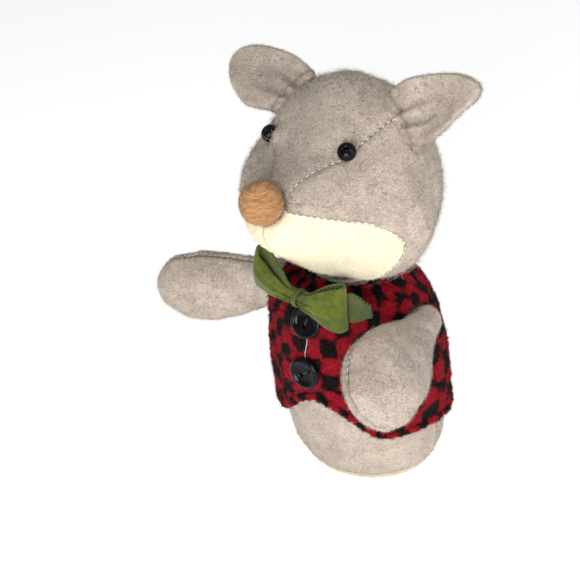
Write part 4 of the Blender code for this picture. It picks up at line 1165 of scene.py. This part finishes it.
def build_head():
    middle = GAP / 2
    tops = np.linspace(GUSSET[0][0], GUSSET[-1][0], 150)
    bend = 10.0
    last = PATCH[-1][0]
    fronts = np.concatenate([
        np.linspace(PATCH[0][0], bend, 72),
        bend + (last - bend) * np.sin(np.linspace(0.0, math.pi / 2, 46))[1:],
    ])
    top_width = along(GUSSET, tops)[..., 0]
    arch = np.clip((fronts - bend) / (last - bend), 0.0, 1.0)
    front_width = along(PATCH, fronts)[..., 0] + 4.0 * arch * (1 - arch)
    front_width = front_width * np.maximum(1.0 - arch**3.0, 0.0) ** (1.0 / 2.6)
    step_back = 0.45       # degrees between the two layers where a seam turns under
    made = {}

    pitch = np.radians(tops)
    wide = edge_angle(pitch, top_width - middle)
    share = np.sin(np.linspace(-1.0, 1.0, 61) * math.pi / 2)
    points = side_points(pitch[:, None], wide[:, None] * share[None, :])
    length = row_length(points)
    edge = np.minimum(length, length[:, -1:] - length)
    made["gusset"] = skin("head_gusset_felt", points, edge, GREY, 1, False, "head_gusset", 90)

    rows = [tops[:1] - step_back, tops, tops[-1:] + step_back]
    limits = [vec([middle]), top_width + middle, vec([middle])]
    back = np.linspace(tops[-1] + 3.0, 360.0 + fronts[0] - 0.5 * step_back, 60)
    first = np.where(np.arange(len(fronts)) == 0, step_back, 0.0)
    rows += [back, 360.0 + fronts + first, vec([360.0 + fronts[-1] + step_back])]
    limits += [np.full(60, middle), np.maximum(front_width, 0.0) + middle, vec([middle])]
    pitch = np.radians(np.concatenate(rows))
    low = edge_angle(pitch, np.concatenate(limits))
    share = np.linspace(0.0, 1.0, 84) ** 1.7
    points = side_points(pitch[:, None], low[:, None] + (math.pi / 2 - low)[:, None] * share[None, :])
    edge = row_length(points)
    for hand, mark in ((1, "left"), (-1, "right")):
        node = f"head_{mark}_side"
        made[mark] = skin(f"head_{mark}_felt", points, edge, GREY, hand, True, node, 94 + hand)

    inside = fronts.copy()
    inside[-1] -= step_back
    inside[0] += 1.6 * step_back
    pitch = np.radians(inside)
    low = edge_angle(pitch, np.full(len(inside), middle))
    high = edge_angle(pitch, np.maximum(front_width - middle, middle + 0.01))
    share = np.sin(np.linspace(0.0, 1.0, 70) * math.pi / 2)
    points = side_points(pitch[:, None], low[:, None] + (high - low)[:, None] * share[None, :])
    length = row_length(points)
    edge = length[:, -1:] - length
    edge = np.minimum(edge, length + 0.6)
    for hand, mark in ((1, "left"), (-1, "right")):
        name, node = f"chin_{mark}_felt", f"chin_{mark}_patch"
        made[f"chin_{mark}"] = skin(name, points, edge, CREAM, hand, False, node, 98 + hand)

    stitches = []
    for rows, widths, pitchs in ((tops, top_width, 2.4), (fronts, front_width, 2.3)):
        pitch = np.radians(rows)
        line_angle = edge_angle(pitch, widths)
        line = side_points(pitch, line_angle)
        normals = head_normal(line)
        place = path_length(line)
        for start in np.arange(1.2, place[-1] - 2.0, pitchs):
            path = []
            for step, rise in ((0.0, -0.4), (0.4, 0.12), (1.0, 0.12), (1.4, -0.4)):
                at = [np.interp(start + step, place, line[:, k]) for k in range(3)]
                out = [np.interp(start + step, place, normals[:, k]) for k in range(3)]
                path.append(vec(at) + unit(vec(out)) * rise)
            reach = math.hypot(path[0][0], path[0][1] - HEAD_CENTRE[1])
            if reach > NECK_HOLE + 1.0 or path[0][2] > HEAD_CENTRE[2] - 10.0:
                stitches.append(path)
                if rows is not tops or path[0][2] > EYE_Z + 6.0 or path[0][1] > 10.0:
                    stitches.append([p * vec((-1, 1, 1)) for p in path])
    sewn = tubes("head_stitches", stitches, 0.23, PALE_THREAD, 8)
    settle(sewn, "head", ())

    core = head_surface(ball_directions(90, 50))
    core = core - head_normal(core) * (FELT + 2.2 + 0.35 * ripple(core, 9.0, 88))[..., None]
    fill = tidy_mesh(put("head_fill", core, [grid_faces(90, 50, True)], FILLING))
    bore(fill, vec((0.0, HEAD_CENTRE[1], 104.0)), vec((0, 0, 1)), 10.4, 68.0)
    settle(fill, "head", ["head_stuffing"])
    return made


def surface_at(x, z):
    near, far = -60.0, 10.0
    for _ in range(40):
        middle = (near + far) / 2
        if head_field(vec([(x, middle, z)]))[0] < 0:
            far = middle
        else:
            near = middle
    spot = vec((x, far, z))
    return spot, head_normal(spot[None])[0]


def build_face():
    for hand, mark in MARK.items():
        spot, out = surface_at(EYE_X[hand] * hand, EYE_Z)
        _, side, up = frame_of(out)
        centre = spot + out * (2.85 if hand > 0 else 2.85 - FAR_EYE_SINK)
        profile = []
        for b in np.linspace(-1.0, 1.0, 25):
            t = b * math.pi * 0.5 * 0.86
            profile.append((0.75 + 2.5 * math.cos(t), 2.5 * math.sin(t) * 1.03))
        profile += [(0.82, 2.1), (0.75, 1.7), (0.75, -1.7), (0.82, -2.1)]
        eye = lathe(f"eye_{mark}_bead", centre, side, up, out, profile, BLACK, 64)
        settle(eye, "head", [f"eye_{mark}"])
        strand = [centre + out * reach for reach in (-2.65, -1.3, 0.0, 0.8, 1.4)]
        thread = tubes(f"eye_{mark}_sewing", [strand], 0.4, BLACK_THREAD, 10)
        settle(thread, "head", [f"eye_{mark}_thread"])
    rows, cols = 120, 70
    way = ball_directions(rows, cols)
    ball = NOSE_CENTRE + way * NOSE_RADIUS
    size = NOSE_RADIUS * 1.03 + 0.16 * ripple(ball, 5.0, 101) + 0.07 * ripple(ball * vec((1, 1, 3)), 2.0, 102)
    points = NOSE_CENTRE + way * size[..., None]
    nose = tidy_mesh(put("nose_felt", points, [grid_faces(rows, cols, True)], TAN))
    settle(nose, "head", ["nose_ball"])
    return nose


def surface_at_ear(hand):
    way = unit(vec(EAR_BASE[hand]) - HEAD_CENTRE)
    spot = head_surface(way[None])[0]
    return spot, head_normal(spot[None])[0]


def ear_lower(hand, v):
    """How the lower half of an ear differs in width from the plain leaf."""
    return 1.0 - 0.30 * smooth(4.0, 26.0, v) if hand > 0 else 1.0 + 0.28 * smooth(1.0, 9.0, v)


def build_ear(hand):
    """A leaf of two felt layers, pinched into folds at its root and cupped towards the front."""
    mark = MARK[hand]
    flip = vec((hand, 1.0, 1.0))
    across = unit(vec(EAR_ACROSS[hand]))
    base, out = surface_at_ear(hand)
    point = unit(vec(EAR_TIP[hand]) - base)
    front = unit(np.cross(across, point))
    if front[1] > 0:
        front = -front
    hinge = base + out * EAR_LIFT
    u = np.sin(np.linspace(-1.0, 1.0, 80) * math.pi / 2)[:, None]
    tip = 26.0 + 4.2 * np.sin(np.linspace(0.05, 1.0, 18) * math.pi / 2)
    v = np.concatenate([np.linspace(-3.6, 26.0, 80), tip])[None, :]
    wide = along(EAR_LEAF, np.clip(v, 0.0, 30.2))[..., 0] - 1.2 * smooth(0.0, -3.6, v)
    wide = wide * (1.0 + (ear_lower(hand, v) - 1.0) * smooth(-0.2, 0.4, u))
    edge = np.minimum(wide * (1.0 - np.abs(u)), np.maximum(30.4 - v, 0.0))
    rolled = 1.0 - np.exp(-edge / 0.55)
    cup = EAR_CUP * (u * u - 0.35) * smooth(0.0, 9.0, v) * smooth(31.0, 18.0, v)
    hug = out * ((wide * u) ** 2 * EAR_HUG * smooth(8.0, 0.0, v))[..., None]
    near_root = smooth(17.0, 1.0, v)
    folds = 0.0
    for centre, deep in ((-0.2, 1.9), (0.3, 1.7)):
        aside = u - centre * (1 + 0.02 * v)
        folds = folds - deep * np.exp(-(aside / 0.12) ** 2) * near_root
        folds = folds + deep * 0.5 * np.exp(-((aside - 0.17) / 0.12) ** 2) * near_root
    base_line = hinge + across * (wide * u)[..., None] + point * (v + 0 * u)[..., None]
    base_line = base_line + front * cup[..., None] - hug
    lumps = 0.22 * ripple(base_line, 9.0, 110 + hand)
    made = []
    for name, sign in (("front", 1.0), ("back", -1.0)):
        thick = 0.35 + (1.6 + lumps * sign) * rolled
        outer = base_line + front * (sign * (0.08 + thick) + folds * 0.75 * rolled)[..., None]
        inner = base_line + front * (sign * 0.08 + folds * 0.55 * rolled)[..., None]
        # Painted shade: darker along the edges, at the root against the head and in the fold valleys; the
        # front is darkened all over and more in its cupped hollow, much more so on the right ear.
        shade = 0.25 * np.exp(-edge / 0.4) + 0.6 * np.exp(-np.abs(v + 0.3) / 0.7) - 0.12 * folds
        if name == "front":
            inside = 0.30 if hand < 0 else 0.08
            hollow = np.exp(-(((v - 9.0) / 9.0) ** 2) - ((u - 0.15) / 0.5) ** 2)
            shade = shade + inside * hollow + inside * 0.3
        shade = np.clip(shade, 0, 0.7)
        panel = shell(f"ear_{mark}_{name}_felt", outer * flip, inner * flip, GREY, shade=shade)
        made.append(panel)
        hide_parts(f"ear_{mark}_{name}_panel")
    stitches = []
    for side in (-1.0, 1.0):
        for start in np.arange(3.0, 25.0, 2.6):
            path = []
            for step in (0.0, 0.7, 1.4):
                reach = start + step
                half = float(along(EAR_LEAF, vec(reach))[0])
                half = half * (float(ear_lower(hand, reach)) if side > 0 else 1.0) - 0.15
                lift = EAR_CUP * 0.65 * float(smooth(0.0, 9.0, reach) * smooth(31.0, 18.0, reach))
                path.append((hinge + across * half * side + point * reach + front * (lift + 0.05)
                             + (across * side) * (0.12 if step == 0.7 else -0.1)) * flip)
            stitches.append(path)
    sewn = tubes(f"ear_{mark}_stitches", stitches, 0.17, PALE_THREAD, 6)
    settle(sewn, f"ear_{mark}", ())
    start = (hinge - point * 3.2) * flip
    end = (hinge + point * 3.2) * flip
    return made, start, end


def build_neck():
    made = []
    runs = (
        ("body_gather", 82.6, 86.2, "body", "neck_turn"),
        ("neck_gather", 86.2, 89.6, "neck_turn", "neck_tilt"),
        ("head_gather", 89.6, 96.6, "neck_tilt", "head"),
    )
    profile = [
        (82.6, 13.6), (83.6, 12.9), (84.4, 11.4), (85.1, 10.5), (85.8, 11.2), (86.4, 12.0), (87.3, 12.4),
        (88.2, 12.0), (88.9, 11.2), (89.5, 10.5), (90.2, 11.3), (91.2, 12.3), (92.6, 13.0), (94.4, 13.2),
        (96.6, 12.6),
    ]
    for name, first, last, a, b in runs:
        z = np.linspace(first, last, 22)[None, :]
        turn = turns(240)[:, None]
        radius = along(profile, z)[..., 0]
        pleat = np.sin(turn * 19 + 0.6 * np.sin(turn * 3)) + 0.4 * np.sin(turn * 31 + 1.0)
        free = np.minimum(np.minimum(np.abs(z - 85.1), np.abs(z - 89.5)) / 2.0, 1.0)
        radius = radius + pleat * 0.38 * (0.6 + 0.4 * free)
        outer = np.stack([radius * np.sin(turn), BODY_Y - radius * np.cos(turn), z + 0 * turn], -1)
        thin = radius - 1.4
        inner = np.stack([thin * np.sin(turn), BODY_Y - thin * np.cos(turn), z + 0 * turn], -1)
        shade = np.clip(0.22 - 0.2 * pleat, 0, 0.6) + 0 * z
        tube = shell(f"{name}_felt", outer, inner, GREY, wrap=True, shade=shade)
        made.append((tube, a, b, vec((0, BODY_Y, first)), vec((0, BODY_Y, last))))
    return made


# ---------------------------------------------------------------- bow tie

def build_bow():
    tilt = math.radians(BOW_TILT)
    right = vec((math.cos(tilt), 0.0, math.sin(tilt)))
    up = vec((-math.sin(tilt), 0.0, math.cos(tilt)))
    ahead = vec((0.0, -1.0, 0.0))
    cloth = 1.3
    made = {}
    for hand, mark in MARK.items():
        length = BOW_WING[hand]
        lean = tilt if hand > 0 else tilt - math.radians(BOW_RIGHT_RISE)
        wing = vec((math.cos(lean), 0.0, math.sin(lean)))
        rise = vec((-math.sin(lean), 0.0, math.cos(lean)))
        path = [(1.3, 1.55)]
        for s in np.linspace(0.12, 1.0, 7):
            path.append((1.3 + (length - 4.0) * s, 1.55 + 2.1 * math.sin(math.pi * 0.5 * s)))
        for a in np.linspace(0.5, math.pi, 6):
            path.append((length - 2.7 + 2.0 * math.sin(a), 1.65 + 2.0 * math.cos(a)))
        path += [(1.6 + (length - 4.3) * s, -0.35 + 0.25 * (1.0 - s)) for s in np.linspace(0.9, 0.0, 6)]
        front_end = 7.0 / (len(path) - 1)
        share = np.linspace(0.0, 1.0, 150)
        line = spline(path, share)
        step = np.gradient(line, axis=0)
        out = unit(np.stack([-step[:, 1], step[:, 0]], -1))
        u = np.linspace(-1.0, 1.0, 60)[:, None]
        x = line[None, :, 0]
        is_front = 1.0 - smooth(front_end - 0.05, front_end + 0.12, share)[None, :]
        grids = []
        for sign in (1.0, -1.0):
            rounding = np.sqrt(np.maximum(1.0 - np.abs(u) ** 14, 0.0))
            offset = sign * cloth / 2 * rounding
            reach = line[None, :, 0] + out[None, :, 0] * offset
            depth = line[None, :, 1] + out[None, :, 1] * offset
            tall = 7.2 if hand > 0 else 4.4
            half = 2.3 + tall * smooth(0.0, length * 0.9, x)
            wave = 0.9 * np.cos(u * math.pi) * smooth(0.0, 16.0, x) * (0.2 + 0.8 * is_front)
            pleat = 0.75 * np.cos(u * 3.1 * math.pi + 0.4) * np.exp(-x / 7.5) * (0.3 + 0.7 * is_front)
            wave = wave + pleat - BOW_SWEEP * smooth(2.0, 30.0, x)
            wave = wave + 0.12 * np.sin(x * 0.9 + 3 * u)
            open_up = smooth(3.0, 14.0, x) * (2.9 - 3.6 * is_front) * (1.0 if hand < 0 else 0.25)
            grids.append(
                BOW_CENTRE + wing * (reach * hand)[..., None] + rise * (half * u + open_up)[..., None]
                + ahead * (depth + wave)[..., None]
            )
        uv = np.stack(np.broadcast_arrays(share * 2.2 * length, u * 8.5), -1)
        # Painted shade: the cloth darkens near the pinch and along the back half of each loop.
        dark = 0.45 * np.exp(-x / 2.6) + 0.25 * smooth(0.55, 1.0, share)[None, :] + 0 * u
        dark = np.clip(dark, 0, 0.7)
        loop = shell(f"bow_{mark}_cloth", grids[0], grids[1], [GREEN, GREEN_NET], uv=uv, shade=dark)
        settle(loop, "body", [f"bow_{mark}_loop"])
        made[mark] = loop
    v = np.linspace(-23.0, 25.0, 150)[None, :]
    u = np.linspace(-1.0, 1.0, 50)[:, None]
    far = np.abs(v)
    grids = []
    for sign in (1.0, -1.0):
        rounding = np.sqrt(np.maximum(1.0 - np.abs(u) ** 14, 0.0))
        half = 1.8 + 6.0 * smooth(3.0, 24.0, far) * (1.0 - 0.8 * smooth(16.0, 25.5, v))
        drop = 1.7 * smooth(3.0, 12.0, far)
        bend = BOW_SWEEP * smooth(2.0, 30.0, far) + 0.6 * smooth(4.0, 12.0, far)
        depth = -2.25 + sign * cloth / 2 * rounding + 0.35 * np.sin(v * 0.5 + 2 * u) * smooth(4.0, 12.0, far)
        grids.append(
            BOW_CENTRE + right * (v + 0 * u)[..., None] + up * (half * u - drop)[..., None]
            + ahead * (depth - bend)[..., None]
        )
    uv = np.stack([v + 0 * u, u * 8.0 + 0 * v], -1)
    strip = shell("bow_back_cloth", grids[0], grids[1], GREEN_NET, uv=uv)
    settle(strip, "body", ["bow_back_strip"])
    made["strip"] = strip

    path = []
    for t in np.linspace(0.0, 1.0, 130):
        a = t * 2 * math.pi * 4.5 + 0.8
        path.append(
            BOW_CENTRE - ahead * 0.1 + up * 2.9 * math.cos(a) + ahead * 3.5 * math.sin(a)
            + right * (t - 0.5) * 1.5
        )
    wrap = tubes("bow_pinch_wrap", [path], 0.28, GREEN_THREAD, 10)
    settle(wrap, "body", ["bow_stitch"])
    return made


# ---------------------------------------------------------------- all pieces

FILLING = felt_look("white_filling", (0.85, 0.84, 0.80), (0.74, 0.72, 0.68), (0.5, 0.48, 0.45), 0.3, 0.3)
GREEN_THREAD = thread_look("green_thread", (0.085, 0.12, 0.015), (0.03, 0.045, 0.005))


body_pieces = build_body()
vest_pieces = build_vest()
vest_pieces += build_armholes()
build_buttons()
arm_pieces = {}
for hand, mark in MARK.items():
    arm_pieces[hand] = build_arm(hand)
head_pieces = build_head()
nose = build_face()
ear_pieces = {}
for hand, mark in MARK.items():
    pieces, start, end = build_ear(hand)
    ear_pieces[hand] = pieces
    for piece in pieces:
        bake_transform(piece)
for tube, a, b, start, end in build_neck():
    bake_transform(tube)
bow_pieces = build_bow()


def outwards(centre):
    """Keeps fibres to faces that look away from a point."""
    def keep(points, normals):
        return (np.sum((points - centre) * normals, axis=1) > 0).astype(float)
    return keep


def away_from_axis(points, normals):
    flat = (points - vec((0, BODY_Y, 0))) * vec((1, 1, 0))
    return ((np.sum(flat * normals, axis=1) > 0.0) & (points[:, 2] > 1.0)).astype(float)


head_skins = [head_pieces[k] for k in ("gusset", "left", "right")]
chins = [head_pieces["chin_left"], head_pieces["chin_right"]]
from_head = outwards(HEAD_CENTRE)
for name, sources, density, length, thick, dyes, seed, rise, keep, slot in (
    ("head_wool_long", head_skins, 0.75, 3.2, 0.045, WOOL, 201, 0.65, from_head, "grey_felt"),
    ("head_wool_short", head_skins, 1.1, 1.7, 0.05, WOOL, 202, 0.4, from_head, "grey_felt"),
    ("head_wool_wisps", head_skins, 0.13, 6.0, 0.035, WOOL[:2], 205, 0.8, from_head, "grey_felt"),
    ("chin_wool", chins, 1.6, 1.8, 0.045, CREAM_WOOL, 203, 0.5, from_head, "cream_felt"),
    ("nose_wool", [nose], 5.0, 1.5, 0.035, TAN_WOOL, 204, 0.3, None, "tan_felt"),
):
    settle(fuzz(name, sources, density, length, thick, dyes, seed, rise, keep), "head", ())
for hand, mark in MARK.items():
    centre = shoulder(hand) + arm_axes(*ARM_POSE[hand])[0] * 26.0
    keep = outwards(centre)
    arm_fuzz = fuzz(f"arm_{mark}_wool", arm_pieces[hand], 1.6, 2.2, 0.045, WOOL, 210 + hand, 0.5, keep)
    settle(arm_fuzz, f"arm_{mark}", ())
    ear_fuzz = fuzz(f"ear_{mark}_wool", ear_pieces[hand], 2.6, 2.0, 0.045, WOOL, 220 + hand, 0.5)
    settle(ear_fuzz, f"ear_{mark}", ())
body_fuzz = fuzz("body_wool", body_pieces, 0.8, 2.0, 0.045, WOOL, 230, 0.5, away_from_axis)
settle(body_fuzz, "body", ())
vest_dyes = RED_WOOL + BLACK_WOOL
for number in range(2):
    name = f"vest_wool_{number + 1}"
    pile = fuzz(name, vest_pieces, 1.1, 1.9, 0.10, vest_dyes, 231 + number, 0.6, away_from_axis)
    settle(pile, "body", ())
bow_all = list(bow_pieces.values())
settle(fuzz("bow_wool", bow_all, 1.6, 1.1, 0.04, GREEN_WOOL, 232, 0.4), "body", ())

for name in ("neck_gather_thread", "neck_seam_thread", "finger_tube"):
    kept = bpy.data.objects[name]
    kept.data.materials.clear()
    kept.data.materials.append(CARD if name == "finger_tube" else PALE_THREAD)


# ---------------------------------------------------------------- floor, light and camera

floor_look = bpy.data.materials.new("pale_floor")
floor_look.use_nodes = True
floor_shader = floor_look.node_tree.nodes["Principled BSDF"]
floor_shader.inputs["Base Color"].default_value = (0.93, 0.93, 0.93, 1.0)
floor_shader.inputs["Roughness"].default_value = 0.9
floor_shader.inputs["Emission Color"].default_value = (1.0, 1.0, 1.0, 1.0)
floor_shader.inputs["Emission Strength"].default_value = 0.55
bpy.ops.mesh.primitive_plane_add(size=12.0, location=(0.0, 0.0, -0.0005))
floor = bpy.context.object
floor.name = "floor"
floor.data.materials.append(floor_look)


def soft_light(name, azimuth, elevation, distance, size, power, colour=(1.0, 1.0, 1.0), tall=None):
    a, e = math.radians(azimuth), math.radians(elevation)
    target = Vector((AXIS * MM).tolist()) + Vector((0.0, 0.0, 0.085))
    way = Vector((math.sin(a) * math.cos(e), -math.cos(a) * math.cos(e), math.sin(e)))
    data = bpy.data.lights.new(name, "AREA")
    data.energy = power
    data.color = colour
    data.shape = "RECTANGLE"
    data.size = size
    data.size_y = tall or size
    lamp = bpy.data.objects.new(name, data)
    lamp.location = target + way * distance
    lamp.rotation_euler = way.to_track_quat("Z", "Y").to_euler()
    bpy.context.scene.collection.objects.link(lamp)


soft_light("key", 27.0, 14.0, 0.9, 0.45, 7.0, (1.0, 0.985, 0.96))
soft_light("fill", 95.0, 22.0, 1.2, 0.7, 2.4)
soft_light("glint", 78.0, 50.0, 0.5, 0.03, 0.5, tall=0.12)
soft_light("top", -40.0, 65.0, 1.3, 0.7, 0.9, (0.98, 0.99, 1.0))

world = bpy.data.worlds.new("studio")
world.use_nodes = True
world.node_tree.nodes["Background"].inputs["Color"].default_value = (1.0, 1.0, 1.0, 1.0)
world.node_tree.nodes["Background"].inputs["Strength"].default_value = 0.30
bpy.context.scene.world = world
bpy.context.scene.view_settings.view_transform = "Standard"

CAMERA_AZIMUTH = math.radians(39.51)
CAMERA_ELEVATION = math.radians(32.35)
CAMERA_ROLL = math.radians(-7.38)
CAMERA_DISTANCE = 391.33
camera_data = bpy.data.cameras.new("photo_view")
camera_data.sensor_width = 36.0
camera_data.lens = 64.77
camera_data.shift_x = -0.0962
camera_data.shift_y = -0.020
camera_data.clip_start = 0.01
camera = bpy.data.objects.new("photo_view", camera_data)
ca, sa = math.cos(CAMERA_AZIMUTH), math.sin(CAMERA_AZIMUTH)
ce, se = math.cos(CAMERA_ELEVATION), math.sin(CAMERA_ELEVATION)
backward = Vector((sa * ce, -ca * ce, se))
level_right = Vector((ca, sa, 0.0))
level_up = backward.cross(level_right)
roll_cos, roll_sin = math.cos(CAMERA_ROLL), math.sin(CAMERA_ROLL)
right = level_right * roll_cos + level_up * roll_sin
upward = level_up * roll_cos - level_right * roll_sin
spot = Vector(((AXIS + vec((0, 0, 80.0))) * MM).tolist()) + backward * CAMERA_DISTANCE * MM
camera.matrix_world = Matrix((
    (right.x, upward.x, backward.x, spot.x),
    (right.y, upward.y, backward.y, spot.y),
    (right.z, upward.z, backward.z, spot.z),
    (0.0, 0.0, 0.0, 1.0),
))
bpy.context.scene.collection.objects.link(camera)
bpy.context.scene.camera = camera

bpy.context.view_layer.update()
